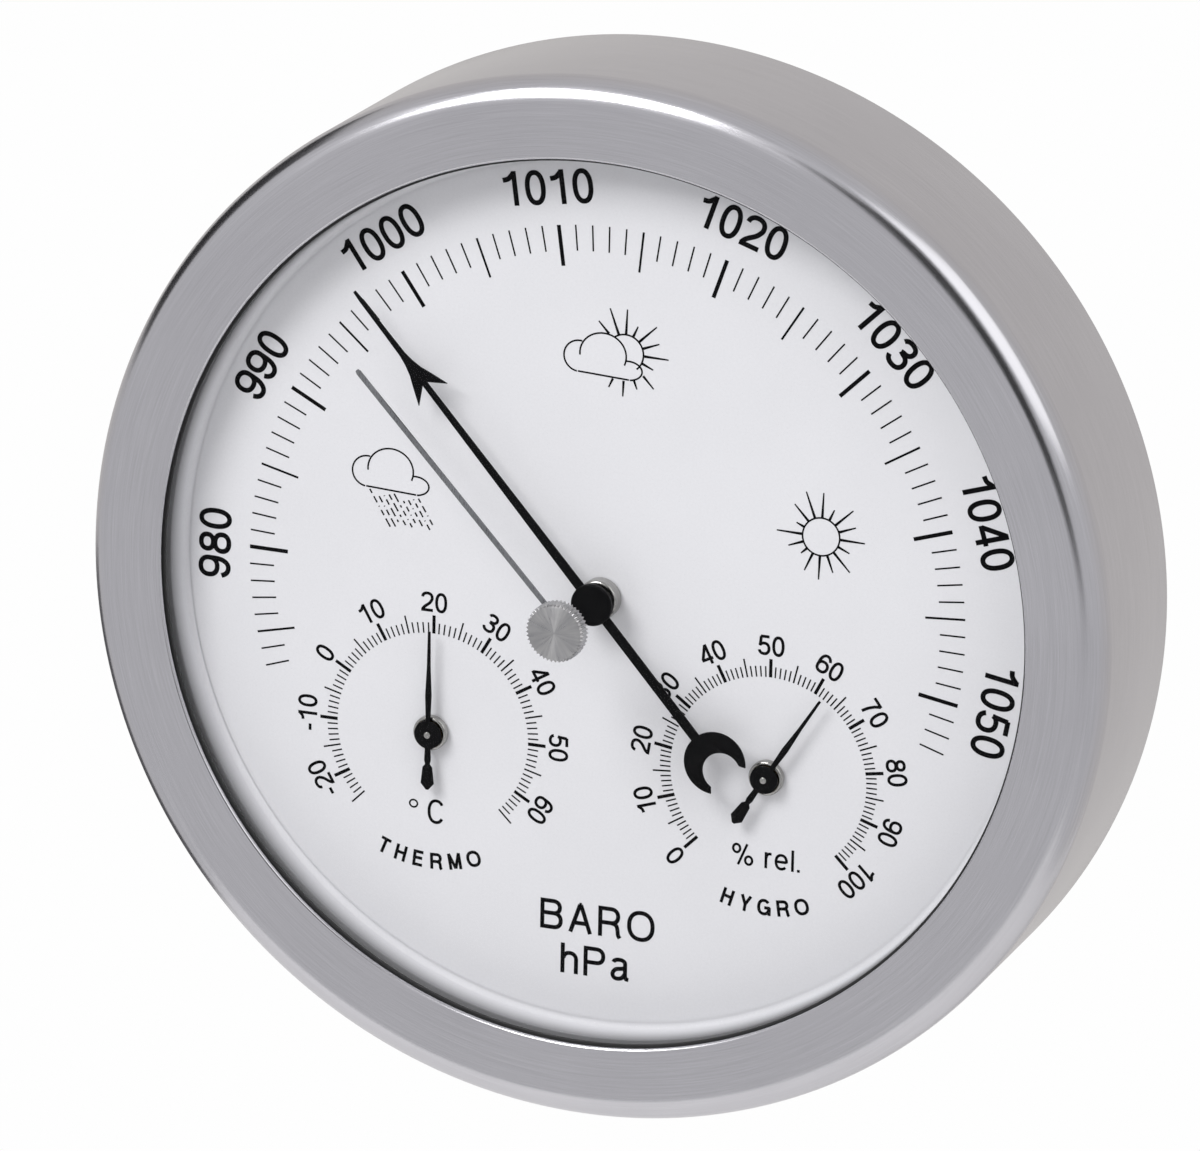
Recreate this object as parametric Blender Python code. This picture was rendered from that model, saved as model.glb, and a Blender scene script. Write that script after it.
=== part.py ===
"""Wall barometer with a thermometer and a hygrometer in its dial.

Frame: metres, +Z up. The dial faces -Y and the wall is at +Y. The origin is the centre of
the rear face that lies against the wall, on the axis of the round case. A positive turn
about +Y is clockwise as the dial is read.
"""
import math

import bmesh
import bpy

MM = 0.001
DEG = math.pi / 180

# Fits
GAP = 0.3 * MM                   # between pieces that touch or are pressed together
RUNNING = 0.3 * MM               # between a shaft and the bore it turns in

# Case
CASE_RADIUS = 100.0 * MM
CASE_DEPTH = 39.5 * MM           # rear rim to ring front
CASE_SHEET = 1.0 * MM
CASE_EDGE_ROUND = 5.3 * MM
WINDOW_RADIUS = 85.0 * MM        # opening in the front ring
RING_LIP = 0.6 * MM              # how far the lip of the opening turns back
RIM_SETBACK = 0.5 * MM           # rear rim behind the cover's wall face

# Window, gasket, inner ring and dial
GASKET_THICKNESS = 0.7 * MM
GASKET_SHOWS = 0.5 * MM          # how far the gasket reaches past the lip
WINDOW_THICKNESS = 1.6 * MM
WINDOW_RISE = 21.6 * MM          # dial face to the crown of the window
WINDOW_FLANGE = 6.0 * MM
DIAL_DEPTH = 9.5 * MM            # ring front to dial face
DIAL_THICKNESS = 0.6 * MM
DIAL_RADIUS = 88.5 * MM
INNER_RING_SLOPE = 1.0 * MM      # the inner ring is this much narrower at the dial

# Dial seat, sleeve and back cover
SEAT_LAP = 1.8 * MM              # how far the dial's edge lies on its seat
SEAT_THICKNESS = 2.0 * MM
SLEEVE_WALL = 2.2 * MM
COVER_THICKNESS = 2.5 * MM
COVER_SCREWS = 4
COVER_SCREW_RADIUS = 1.4 * MM
COVER_SCREW_HEAD = 2.8 * MM
COVER_SCREW_LENGTH = 10.0 * MM
COVER_SCREW_SUNK = 0.2 * MM
COVER_HEAD_HEIGHT = 1.1 * MM
POST_RADIUS = 4.6 * MM
POST_BITE = 1.0 * MM             # how far a post grows into the sleeve's wall
HANGER_HEIGHT = 62.0 * MM        # keyhole centre above the axis
KEYHOLE_ENTRY = 4.6 * MM         # radius that a screw head passes
KEYHOLE_SLOT = 2.4 * MM          # half width of the slot that the screw's neck runs in
KEYHOLE_RISE = 9.0 * MM
HANGER_SHEET = 1.2 * MM
HANGER_WIDTH = 34.0 * MM
HANGER_TALL = 28.0 * MM
HANGER_SCREW_SPAN = 13.0 * MM
HANGER_SCREW_RADIUS = 1.2 * MM
VENT_ROWS = 5
VENT_PITCH = 6.0 * MM
VENT_WIDTH = 2.4 * MM
VENT_LENGTH = 24.0 * MM

# Small instruments
SUB_X = 33.35 * MM
SUB_Z = -30.5 * MM
CAN_RADIUS = 15.0 * MM
CAN_DEPTH = 9.0 * MM
CAN_SHEET = 0.7 * MM
FERRULE_RADIUS = 3.35 * MM
FERRULE_HEIGHT = 1.4 * MM
NECK_RADIUS = 2.2 * MM
SUB_ARBOR_RADIUS = 0.65 * MM
SUB_HAND_RISE = 2.2 * MM
SUB_HAND_THICKNESS = 0.3 * MM
SUB_HUB_RADIUS = 2.7 * MM
SUB_TAIL = 10.8 * MM
THERMO_READING = 20.0            # degrees Celsius shown at rest
THERMO_CENTRE, THERMO_STEP = 20.0, 3.0
HYGRO_READING = 62.0             # per cent shown at rest
HYGRO_CENTRE, HYGRO_STEP = 50.0, 2.7

# Barometer hands
BARO_READING = 997.6             # hectopascal shown at rest
BARO_CENTRE, BARO_STEP = 1013.0, 2.7
POINTER_RISE = 4.6 * MM
POINTER_SHEET = 0.5 * MM
POINTER_LENGTH = 72.6 * MM
POINTER_WIDTH = 1.85 * MM
ARROW_BASE = 50.0 * MM
ARROW_BARB = 3.7 * MM
ARROW_TIP = 57.0 * MM
MOON_CENTRE = 37.0 * MM
MOON_RADIUS = 6.0 * MM
MOON_OPENING = 47                # degrees from the tail's direction to each horn
BITE_RADIUS = 3.75 * MM
BITE_DROP = 2.1 * MM
NEEDLE_HALF = 0.22 * MM
HUB_RADIUS = 4.0 * MM
HUB_THICKNESS = 0.7 * MM
BUSH_RADIUS = 2.6 * MM
NUT_RADIUS = 3.9 * MM
NUT_HEIGHT = 2.6 * MM

# Set hand and its knob
SET_ANGLE = -47.5                # degrees clockwise of upright at rest
SET_HAND_LENGTH = 61.0 * MM
SET_HAND_WIDTH = 0.95 * MM
SET_HAND_SHEET = 0.4 * MM
SET_TIP_RISE = 11.4 * MM         # tip of the set hand above the dial
SET_EYE_RADIUS = 2.6 * MM
SET_SHAFT_RADIUS = 0.8 * MM
KNOB_RADIUS = 5.65 * MM
KNOB_THICKNESS = 3.2 * MM
KNOB_RIDGES = 45
KNOB_RIDGE = 0.28 * MM

# Movement
PLATE_EDGE = 0.48824 * MM        # plate left beyond the outer rocker post
CAN_CLEARANCE = 1.2 * MM         # between the front plate's edge and an instrument's can
PLATE_THICKNESS = 1.2 * MM
FRONT_PLATE_BEHIND_DIAL = 4.0 * MM
BASE_PLATE_CLEARANCE = 2.2 * MM  # behind the base plate, for the screw's head
PILLAR_RADIUS = 2.0 * MM
PILLAR_CIRCLE = 24.0 * MM
CARRIER_SPRING_SHEET = 0.7 * MM
CARRIER_SPRING_WIDTH = 8.0 * MM
CARRIER_SCREW_RADIUS = 1.1 * MM
CAPSULE_RADIUS = 18.0 * MM
CAPSULE_SHEET = 0.5 * MM
CAPSULE_RIM = 1.2 * MM           # flat rim where the halves are joined
CAPSULE_HALF = 2.2 * MM
CAPSULE_SEAM = 0.9 * MM          # open at rest, and nearly closed at the highest pressure
STUD_HEIGHT = 2.0 * MM
CAPSULE_STROKE = 0.010 * MM      # of the capsule's top for each hectopascal
ARBOR_RADIUS = 0.7 * MM
GEAR_MODULE = 0.4 * MM
PINION_TEETH = 8
SECTOR_FULL_TEETH = 96
SECTOR_TEETH = 8
SECTOR_FIRST = -5                # first tooth, counted from the line of centres
TOOTH_ROOT = 0.46 * MM
TOOTH_TIP = 0.26 * MM
SECTOR_SHEET = 1.0 * MM
INPUT_ARM = 4.0 * MM             # rocking shaft to the capsule's axis
OUTPUT_ARM = 4.0 * MM            # rocking shaft to where the finger pushes
ROCKER_RADIUS = 0.8 * MM
ROCKER_BAR = 1.0 * MM            # thickness of the arm and of the finger
ROCKER_POST = 1.5 * MM           # thickness of a post along the rocking shaft
POST_PAST_STUD = 4.6 * MM
ADJUST_Z = -16.0 * MM
ADJUST_RADIUS = 1.5 * MM
ADJUST_HEAD = 3.0 * MM

# Facets
LARGE = 72
MEDIUM = 28
SMALL = 12

# What follows from the sizes above; depths are along Y, and the front is negative
INSIDE_RADIUS = CASE_RADIUS - CASE_SHEET - GAP
POST_CIRCLE = INSIDE_RADIUS - SLEEVE_WALL + POST_BITE - POST_RADIUS
Y_RING = -(RIM_SETBACK + CASE_DEPTH)
Y_DIAL = Y_RING + DIAL_DEPTH
Y_DIAL_BACK = Y_DIAL + DIAL_THICKNESS
Y_GASKET = Y_RING + CASE_SHEET + GAP
Y_FLANGE = Y_GASKET + GASKET_THICKNESS + GAP
Y_FLANGE_BACK = Y_FLANGE + WINDOW_THICKNESS
Y_CROWN = Y_DIAL - WINDOW_RISE
Y_SEAT = Y_DIAL_BACK + GAP
Y_COVER = -COVER_THICKNESS
Y_BASE = Y_COVER - BASE_PLATE_CLEARANCE
Y_BASE_FRONT = Y_BASE - PLATE_THICKNESS
Y_SPRING = Y_BASE_FRONT - 2 * GAP
Y_SPRING_FRONT = Y_SPRING - CARRIER_SPRING_SHEET
Y_CAPSULE = Y_SPRING_FRONT - GAP
Y_SEAM = Y_CAPSULE - 0.8 * MM - CAPSULE_HALF
Y_CAPSULE_TOP = Y_SEAM - CAPSULE_SEAM - CAPSULE_HALF
Y_STUD_TOP = Y_CAPSULE_TOP - GAP - STUD_HEIGHT
Y_ROCKER = Y_STUD_TOP - GAP - 0.5 * MM
Y_FRONT_PLATE = Y_DIAL_BACK + FRONT_PLATE_BEHIND_DIAL
Y_FRONT_PLATE_BACK = Y_FRONT_PLATE + PLATE_THICKNESS
Y_PUSH = Y_ROCKER - OUTPUT_ARM
Y_SECTOR_BACK = Y_PUSH - 0.8 * MM
Y_SECTOR = Y_SECTOR_BACK - SECTOR_SHEET

# Gears: the sector's stud is level with the rocking shaft, and its teeth meet the pinion's
PINION_PITCH = GEAR_MODULE * PINION_TEETH / 2
SECTOR_PITCH = GEAR_MODULE * SECTOR_FULL_TEETH / 2
STUD_Z = -INPUT_ARM
STUD_X = -math.sqrt((PINION_PITCH + SECTOR_PITCH) ** 2 - STUD_Z ** 2)
MESH_ANGLE = math.atan2(-STUD_Z, -STUD_X)
ROCKER_PER_HPA = CAPSULE_STROKE / INPUT_ARM
SECTOR_PER_HPA = BARO_STEP * DEG * PINION_TEETH / SECTOR_FULL_TEETH
PIN_ARM = OUTPUT_ARM * ROCKER_PER_HPA / SECTOR_PER_HPA
PIN_RADIUS = 0.5 * MM
PIN_X = STUD_X + PIN_ARM
ROCKER_POST_X = STUD_X - POST_PAST_STUD
PLATE_RADIUS = -ROCKER_POST_X + ROCKER_POST + PLATE_EDGE


# ---------------------------------------------------------------- tools

def finish(name, colour, roughness, metallic=0.0):
    """Make the plain material of one piece."""
    material = bpy.data.materials.new(name)
    material.use_nodes = True
    shader = material.node_tree.nodes["Principled BSDF"]
    shader.inputs["Base Color"].default_value = (*colour, 1.0)
    shader.inputs["Roughness"].default_value = roughness
    shader.inputs["Metallic"].default_value = metallic
    material.diffuse_color = (*colour, 1.0)
    return material


STEEL = ((0.62, 0.62, 0.63), 0.35, 1.0)
BRASS = ((0.80, 0.58, 0.26), 0.35, 1.0)
NICKEL = ((0.70, 0.69, 0.66), 0.20, 1.0)
BLACK_PLASTIC = ((0.02, 0.02, 0.02), 0.55)
BLACK_PAINT = ((0.01, 0.01, 0.01), 0.45)
WHITE_PLASTIC = ((0.80, 0.80, 0.80), 0.50)
WHITE_ENAMEL = ((0.75, 0.75, 0.78), 0.60)
RUBBER = ((0.02, 0.02, 0.02), 0.80)
CLEAR = ((0.90, 0.95, 0.95), 0.05)
FILM = ((0.85, 0.78, 0.60), 0.60)


def axis_point(name, x=0.0, z=0.0, y=0.0, turn=0.0):
    """Make an empty on a joint's axis; turn is in degrees about +Y."""
    empty = bpy.data.objects.new(name, None)
    empty.location = (x, y, z)
    empty.rotation_euler = (0, turn * DEG, 0)
    bpy.context.scene.collection.objects.link(empty)
    return empty


def add_piece(name, bm, look, parent=None, place=(0, 0, 0)):
    """Turn a bmesh into one named object with its own material."""
    bmesh.ops.recalc_face_normals(bm, faces=bm.faces)
    mesh = bpy.data.meshes.new(name)
    bm.to_mesh(mesh)
    bm.free()
    mesh.shade_smooth()
    mesh.set_sharp_from_angle(angle=35 * DEG)
    mesh.materials.append(finish(name, *look))
    piece = bpy.data.objects.new(name, mesh)
    piece.location = place
    piece.parent = parent
    bpy.context.scene.collection.objects.link(piece)
    return piece


def turned(name, profile, look, segments=MEDIUM, parent=None, place=(0, 0, 0)):
    """Turn a closed outline of (radius, y) points about the piece's own Y axis."""
    bm = bmesh.new()
    verts = [bm.verts.new((radius, y, 0)) for radius, y in profile]
    solid = profile[0][0] == 0 and profile[-1][0] == 0
    edges = [bm.edges.new(pair) for pair in zip(verts, verts[1:])]
    if not solid:
        edges.append(bm.edges.new((verts[-1], verts[0])))
    bmesh.ops.spin(bm, geom=verts + edges, cent=(0, 0, 0), axis=(0, 1, 0),
                   angle=2 * math.pi, steps=segments, use_merge=True)
    bmesh.ops.remove_doubles(bm, verts=bm.verts, dist=1e-7)
    return add_piece(name, bm, look, parent, place)


def extruded(name, outlines, start, end, look, parent=None, place=(0, 0, 0), along="Y"):
    """Extrude an outline, and any holes after it, from start to end along Y, X or Z.

    Outlines are (x, z) points for Y, (y, z) points for X, and (x, y) points for Z.
    """
    to_point = {"Y": lambda a, b, depth: (a, depth, b),
                "X": lambda a, b, depth: (depth, a, b),
                "Z": lambda a, b, depth: (a, b, depth)}[along]
    bm = bmesh.new()
    edges = []
    for outline in outlines:
        verts = [bm.verts.new(to_point(a, b, start)) for a, b in outline]
        edges += [bm.edges.new((verts[i - 1], verts[i])) for i in range(len(verts))]
    bmesh.ops.triangle_fill(bm, edges=edges, use_beauty=True)
    grown = bmesh.ops.extrude_face_region(bm, geom=bm.faces[:])
    moved = [item for item in grown["geom"] if isinstance(item, bmesh.types.BMVert)]
    shift = [end_value - start_value
             for end_value, start_value in zip(to_point(0, 0, end), to_point(0, 0, start))]
    bmesh.ops.translate(bm, verts=moved, vec=shift)
    return add_piece(name, bm, look, parent, place)


def combine(piece, other, operation):
    """Add another solid to a piece, or cut it away, and keep it as a hidden guide."""
    other.hide_render = True
    other.display_type = "WIRE"
    modifier = piece.modifiers.new(other.name, "BOOLEAN")
    modifier.operation = operation
    modifier.object = other


def circle(radius, segments, x=0.0, z=0.0):
    """Points of a round outline."""
    return [(x + radius * math.cos(2 * math.pi * i / segments),
             z + radius * math.sin(2 * math.pi * i / segments)) for i in range(segments)]


def arc(radius, start, end, steps, x=0.0, z=0.0):
    """Points of an arc from start to end, in degrees, both ends included."""
    angles = [(start + (end - start) * i / steps) * DEG for i in range(steps + 1)]
    return [(x + radius * math.cos(a), z + radius * math.sin(a)) for a in angles]


def rectangle(x0, z0, x1, z1):
    """Corners of a rectangle."""
    return [(x0, z0), (x1, z0), (x1, z1), (x0, z1)]


def slot(x, z, length, width, steps=4):
    """A level slot with round ends."""
    half = (length - width) / 2
    return arc(width / 2, -90, 90, steps, x + half, z) + arc(width / 2, 90, 270, steps, x - half, z)


def rod(name, radius, start, end, look, segments=SMALL, parent=None, place=(0, 0, 0)):
    """A plain round rod along Y."""
    return turned(name, [(0, start), (radius, start), (radius, end), (0, end)], look,
                  segments, parent, place)


def tube(name, inner, outer, start, end, look, segments=SMALL, parent=None, place=(0, 0, 0)):
    """A plain tube along Y."""
    return turned(name, [(inner, start), (outer, start), (outer, end), (inner, end)], look,
                  segments, parent, place)


def spiral(inner, outer, turns, sheet, start=0.0, per_turn=14):
    """Outline of a flat spiral strip; start is the angle of its inner end in degrees."""
    steps = int(turns * per_turn)
    inside, outside = [], []
    for i in range(steps + 1):
        angle = start * DEG + 2 * math.pi * i / per_turn
        radius = inner + (outer - inner) * i / steps
        inside.append((radius * math.cos(angle), radius * math.sin(angle)))
        wide = radius + sheet
        outside.append((wide * math.cos(angle), wide * math.sin(angle)))
    return inside + outside[::-1]


# ---------------------------------------------------------------- case and window

def build_case():
    """Drawn sheet shell: rear rim, wall, rounded edge, flat ring and turned-back lip."""
    y_rim = -RIM_SETBACK
    inner_round = CASE_EDGE_ROUND - CASE_SHEET
    corner = CASE_RADIUS - CASE_EDGE_ROUND
    profile = [(CASE_RADIUS, y_rim)]
    profile += arc(CASE_EDGE_ROUND, 0, -90, 5, corner, Y_RING + CASE_EDGE_ROUND)
    profile += arc(RING_LIP, -90, -180, 2, WINDOW_RADIUS + RING_LIP, Y_RING + RING_LIP)
    profile += [(WINDOW_RADIUS, Y_RING + CASE_SHEET)]
    profile += arc(inner_round, -90, 0, 3, corner, Y_RING + CASE_EDGE_ROUND)
    profile += [(CASE_RADIUS - CASE_SHEET, y_rim)]
    turned("case_shell", profile, STEEL, LARGE)


def build_window():
    """Gasket, domed window with its flat flange, white inner ring and dial plate."""
    seat = CASE_RADIUS - CASE_EDGE_ROUND - GAP
    shows = WINDOW_RADIUS - GASKET_SHOWS
    tube("window_gasket", shows, seat, Y_GASKET, Y_GASKET + GASKET_THICKNESS, RUBBER, LARGE)

    edge = WINDOW_RADIUS - GASKET_SHOWS
    rise = Y_FLANGE - Y_CROWN
    sphere = (edge ** 2 + rise ** 2) / (2 * rise)
    hole = SET_SHAFT_RADIUS + 3 * RUNNING
    outer = dome(sphere, Y_CROWN + sphere, hole, edge)
    inner = dome(sphere - WINDOW_THICKNESS, Y_CROWN + sphere, hole, edge)
    rim = edge + WINDOW_FLANGE
    profile = outer + [(rim, Y_FLANGE), (rim, inner[-1][1])] + inner[::-1]
    turned("window", profile, CLEAR, LARGE)

    foot = WINDOW_RADIUS - INNER_RING_SLOPE
    y_top = inner[-1][1] + GAP
    y_foot = Y_DIAL - GAP
    turned("inner_ring", [(edge, y_top), (rim, y_top), (rim, y_foot), (foot, y_foot)],
           WHITE_PLASTIC, LARGE)

    holes = [circle(BUSH_RADIUS + GAP, SMALL)]
    holes += [circle(NECK_RADIUS + GAP, SMALL, side * SUB_X, SUB_Z) for side in (-1, 1)]
    extruded("dial_plate", [circle(DIAL_RADIUS, LARGE)] + holes, Y_DIAL_BACK, Y_DIAL,
             WHITE_ENAMEL)


def dome(radius, centre, start, end, steps=6):
    """(radius, y) points along a sphere from near its crown outwards."""
    points = []
    for i in range(steps + 1):
        r = start + (end - start) * i / steps
        points.append((r, centre - math.sqrt(radius ** 2 - r ** 2)))
    return points


# ---------------------------------------------------------------- sleeve and cover

def build_sleeve():
    """Flat ring that the dial lies on, and the sleeve behind it with the cover's posts."""
    outer = INSIDE_RADIUS
    y_seat = Y_SEAT + SEAT_THICKNESS
    tube("dial_seat", DIAL_RADIUS - SEAT_LAP, outer, Y_SEAT, y_seat, BLACK_PLASTIC, LARGE)
    y_sleeve = y_seat + GAP
    y_end = Y_COVER - GAP
    sleeve = tube("cover_sleeve", outer - SLEEVE_WALL, outer, y_sleeve, y_end, BLACK_PLASTIC,
                  LARGE)
    for number, (x, z) in enumerate(cover_screw_places(), start=1):
        post = rod(f"post_guide_{number}", POST_RADIUS, y_sleeve, y_end, BLACK_PLASTIC,
                   place=(x, 0, z))
        bore = rod(f"bore_guide_{number}", COVER_SCREW_RADIUS + GAP,
                   y_end - COVER_SCREW_LENGTH, y_end + MM, BLACK_PLASTIC, place=(x, 0, z))
        combine(sleeve, post, "UNION")
        combine(sleeve, bore, "DIFFERENCE")


def cover_screw_places():
    """Centres of the cover's screws, on the diagonals."""
    return circle_places(POST_CIRCLE, COVER_SCREWS, 45)


def circle_places(radius, count, start):
    """Evenly spaced places round the axis, start in degrees."""
    return [(radius * math.cos((start + 360 * i / count) * DEG),
             radius * math.sin((start + 360 * i / count) * DEG)) for i in range(count)]


def build_cover():
    """Flat back cover with vents, keyhole window, adjusting hole, hanger and screws."""
    window = slot_upright(HANGER_HEIGHT, KEYHOLE_ENTRY + MM, KEYHOLE_RISE + MM)
    holes = [window, circle(ADJUST_HEAD + MM, SMALL, 0, ADJUST_Z)]
    for side in (-1, 1):
        for row in range(VENT_ROWS):
            z = SUB_Z + (row - (VENT_ROWS - 1) / 2) * VENT_PITCH
            holes.append(slot(side * SUB_X, z, VENT_LENGTH, VENT_WIDTH))
        holes.append(circle(HANGER_SCREW_RADIUS + GAP, SMALL, side * HANGER_SCREW_SPAN,
                            HANGER_HEIGHT))
    cover = extruded("back_cover", [circle(INSIDE_RADIUS, LARGE)] + holes, 0, Y_COVER,
                     BLACK_PLASTIC)

    y_hanger = Y_COVER - GAP
    plate = rectangle(-HANGER_WIDTH / 2, HANGER_HEIGHT - HANGER_TALL / 2 + 3 * MM,
                      HANGER_WIDTH / 2, HANGER_HEIGHT + HANGER_TALL / 2 + 3 * MM)
    bores = [circle(HANGER_SCREW_RADIUS + GAP, SMALL, side * HANGER_SCREW_SPAN, HANGER_HEIGHT)
             for side in (-1, 1)]
    extruded("hanger_plate", [plate, keyhole()] + bores, y_hanger, y_hanger - HANGER_SHEET,
             STEEL)
    y_nut = y_hanger - HANGER_SHEET - GAP
    for number, side in enumerate((-1, 1), start=1):
        fastener(f"hanger_rivet_{number}", side * HANGER_SCREW_SPAN, HANGER_HEIGHT,
                 HANGER_SCREW_RADIUS, 2 * HANGER_SCREW_RADIUS, 1.0 * MM, y_nut, -0.3 * MM)
    for number, (x, z) in enumerate(cover_screw_places(), start=1):
        cover_screw(number, x, z, cover)


def fastener(name, x, z, radius, head, height, y_head, y_end):
    """A rivet with its head in front of y_head and its shank back to y_end."""
    profile = [(0, y_head - height), (head, y_head - height), (head, y_head), (radius, y_head),
               (radius, y_end), (0, y_end)]
    turned(name, profile, STEEL, SMALL, place=(x, 0, z))


def cover_screw(number, x, z, cover):
    """A pan-head screw, with its head sunk in a counterbore of the cover."""
    y_head = -COVER_SCREW_SUNK
    y_seat = y_head - COVER_HEAD_HEIGHT
    y_end = Y_COVER - COVER_SCREW_LENGTH + MM
    rim = 0.3 * MM
    profile = [(0, y_head), (COVER_SCREW_HEAD - rim, y_head), (COVER_SCREW_HEAD, y_head - rim),
               (COVER_SCREW_HEAD, y_seat), (COVER_SCREW_RADIUS, y_seat),
               (COVER_SCREW_RADIUS, y_end), (0, y_end)]
    turned(f"cover_screw_{number}", profile, STEEL, SMALL, place=(x, 0, z))
    wide, narrow = COVER_SCREW_HEAD + GAP, COVER_SCREW_RADIUS + GAP
    stepped = [(0, MM), (wide, MM), (wide, y_seat - GAP), (narrow, y_seat - GAP),
               (narrow, Y_COVER - MM), (0, Y_COVER - MM)]
    drill = turned(f"drill_guide_{number}", stepped, STEEL, 2 * SMALL, place=(x, 0, z))
    combine(cover, drill, "DIFFERENCE")


def slot_upright(z, radius, rise):
    """An upright slot with round ends, from z up to z + rise."""
    return arc(radius, 180, 360, 8, 0, z) + arc(radius, 0, 180, 8, 0, z + rise)


def keyhole():
    """Keyhole outline: a round entry with a narrower slot rising from it."""
    half = math.asin(KEYHOLE_SLOT / KEYHOLE_ENTRY) / DEG
    entry = arc(KEYHOLE_ENTRY, 90 + half, 450 - half, 14, 0, HANGER_HEIGHT)
    top = arc(KEYHOLE_SLOT, 0, 180, 6, 0, HANGER_HEIGHT + KEYHOLE_RISE)
    return entry + top


# ---------------------------------------------------------------- small instruments

def build_small_instrument(kind, side, reading, centre, step, reach, coil_look):
    """A can with a coil behind the dial, and an arbor with a hand in front of it."""
    x = side * SUB_X
    y_can = Y_DIAL_BACK + GAP
    bore = SUB_ARBOR_RADIUS + RUNNING
    y_back = y_can + CAN_DEPTH
    profile = [(bore, Y_DIAL - GAP), (NECK_RADIUS, Y_DIAL - GAP), (NECK_RADIUS, y_can),
               (CAN_RADIUS, y_can), (CAN_RADIUS, y_back), (CAN_RADIUS - CAN_SHEET, y_back),
               (CAN_RADIUS - CAN_SHEET, y_can + CAN_SHEET), (bore, y_can + CAN_SHEET)]
    turned(f"{kind}_can", profile, BRASS, MEDIUM, place=(x, 0, SUB_Z))

    y_ferrule = Y_DIAL - GAP
    neck = NECK_RADIUS + GAP
    round_off = 0.5 * MM
    profile = [(neck, y_ferrule), (FERRULE_RADIUS, y_ferrule)]
    profile += arc(round_off, 0, -90, 3, FERRULE_RADIUS - round_off,
                   y_ferrule - FERRULE_HEIGHT + round_off)
    profile += [(neck, y_ferrule - FERRULE_HEIGHT)]
    turned(f"{kind}_ferrule", profile, NICKEL, MEDIUM, place=(x, 0, SUB_Z))

    turn = (reading - centre) * step
    axis = axis_point(f"{kind}_axis", x, SUB_Z, 0, turn)
    y_hand = Y_DIAL - SUB_HAND_RISE
    rod(f"{kind}_arbor", SUB_ARBOR_RADIUS, y_back - 2 * MM,
        y_hand - SUB_HAND_THICKNESS - 0.5 * MM, NICKEL, parent=axis)
    hub = circle(SUB_ARBOR_RADIUS + GAP, SMALL)
    extruded(f"{kind}_hand", [small_hand(reach), hub], y_hand, y_hand - SUB_HAND_THICKNESS,
             BLACK_PAINT, axis)
    strip = spiral(SUB_ARBOR_RADIUS + GAP, CAN_RADIUS - CAN_SHEET - 3 * GAP, 3.5, 0.35 * MM)
    extruded(f"{kind}_coil", [strip], y_can + CAN_SHEET + MM, y_back - 2.5 * MM, coil_look,
             place=(x, 0, SUB_Z))


def small_hand(reach):
    """Leaf blade, round hub and a notched six-sided tail, pointing up."""
    blade = [(0.62 * MM, 0.38 * reach), (0.36 * MM, 0.65 * reach), (0.25 * MM, reach)]
    tail = [(0.25 * MM, -SUB_TAIL), (1.3 * MM, -SUB_TAIL + 1.2 * MM), (0.95 * MM, -6.4 * MM),
            (0.45 * MM, -5.8 * MM), (0.65 * MM, -5.0 * MM)]
    top = math.asin(0.45 * MM / SUB_HUB_RADIUS) / DEG
    bottom = math.asin(0.55 * MM / SUB_HUB_RADIUS) / DEG
    hub = arc(SUB_HUB_RADIUS, -90 + bottom, 90 - top, 8)
    side = tail + hub + blade
    return side + mirrored(side)


# ---------------------------------------------------------------- barometer hands

def build_pointer():
    """Main pointer with its hub, arbor and pinion, on the bush and nut through the dial."""
    nut = [(BUSH_RADIUS + GAP, Y_DIAL - GAP), (NUT_RADIUS, Y_DIAL - GAP),
           (NUT_RADIUS, Y_DIAL - GAP - NUT_HEIGHT + 0.6 * MM),
           (NUT_RADIUS - 0.6 * MM, Y_DIAL - GAP - NUT_HEIGHT),
           (BUSH_RADIUS + GAP, Y_DIAL - GAP - NUT_HEIGHT)]
    turned("centre_nut", nut, NICKEL, MEDIUM)
    bore = ARBOR_RADIUS + RUNNING
    tube("centre_bush", bore, BUSH_RADIUS, Y_DIAL - GAP - NUT_HEIGHT, Y_FRONT_PLATE_BACK,
         NICKEL, MEDIUM)

    axis = axis_point("pointer_axis", turn=(BARO_READING - BARO_CENTRE) * BARO_STEP)
    y_back = Y_DIAL - POINTER_RISE
    y_front = y_back - POINTER_SHEET
    stem = ARBOR_RADIUS + 3 * GAP
    extruded("main_pointer", [pointer_outline(), circle(stem + GAP, MEDIUM)], y_back, y_front,
             BLACK_PAINT, axis)
    y_cap = y_front - GAP
    hub = [(0, y_cap - HUB_THICKNESS), (HUB_RADIUS, y_cap - HUB_THICKNESS),
           (HUB_RADIUS, y_cap), (stem, y_cap), (stem, Y_DIAL - POINTER_RISE + 0.8 * MM),
           (ARBOR_RADIUS + GAP, Y_DIAL - POINTER_RISE + 0.8 * MM), (ARBOR_RADIUS + GAP, y_cap),
           (0, y_cap)]
    turned("pointer_hub", hub, BLACK_PAINT, MEDIUM, axis)

    arbor = axis_point("arbor_axis")
    y_pinion = Y_SECTOR - 0.4 * MM
    y_pinion_back = Y_SECTOR_BACK + 0.4 * MM
    rod("pointer_arbor", ARBOR_RADIUS, y_pinion - GAP, y_cap + GAP, NICKEL, parent=arbor)
    pinion = gear_teeth(PINION_TEETH, 2 * math.pi / PINION_TEETH, PINION_PITCH,
                        MESH_ANGLE + math.pi)
    extruded("arbor_pinion", [pinion],
             y_pinion_back, y_pinion, BRASS, arbor)
    inner = ARBOR_RADIUS + GAP
    y_spring = Y_FRONT_PLATE_BACK + 0.5 * MM
    extruded("hairspring", [spiral(inner, 4.3 * MM, 3, 0.15 * MM)], y_spring + 0.6 * MM,
             y_spring, BRASS)


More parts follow.
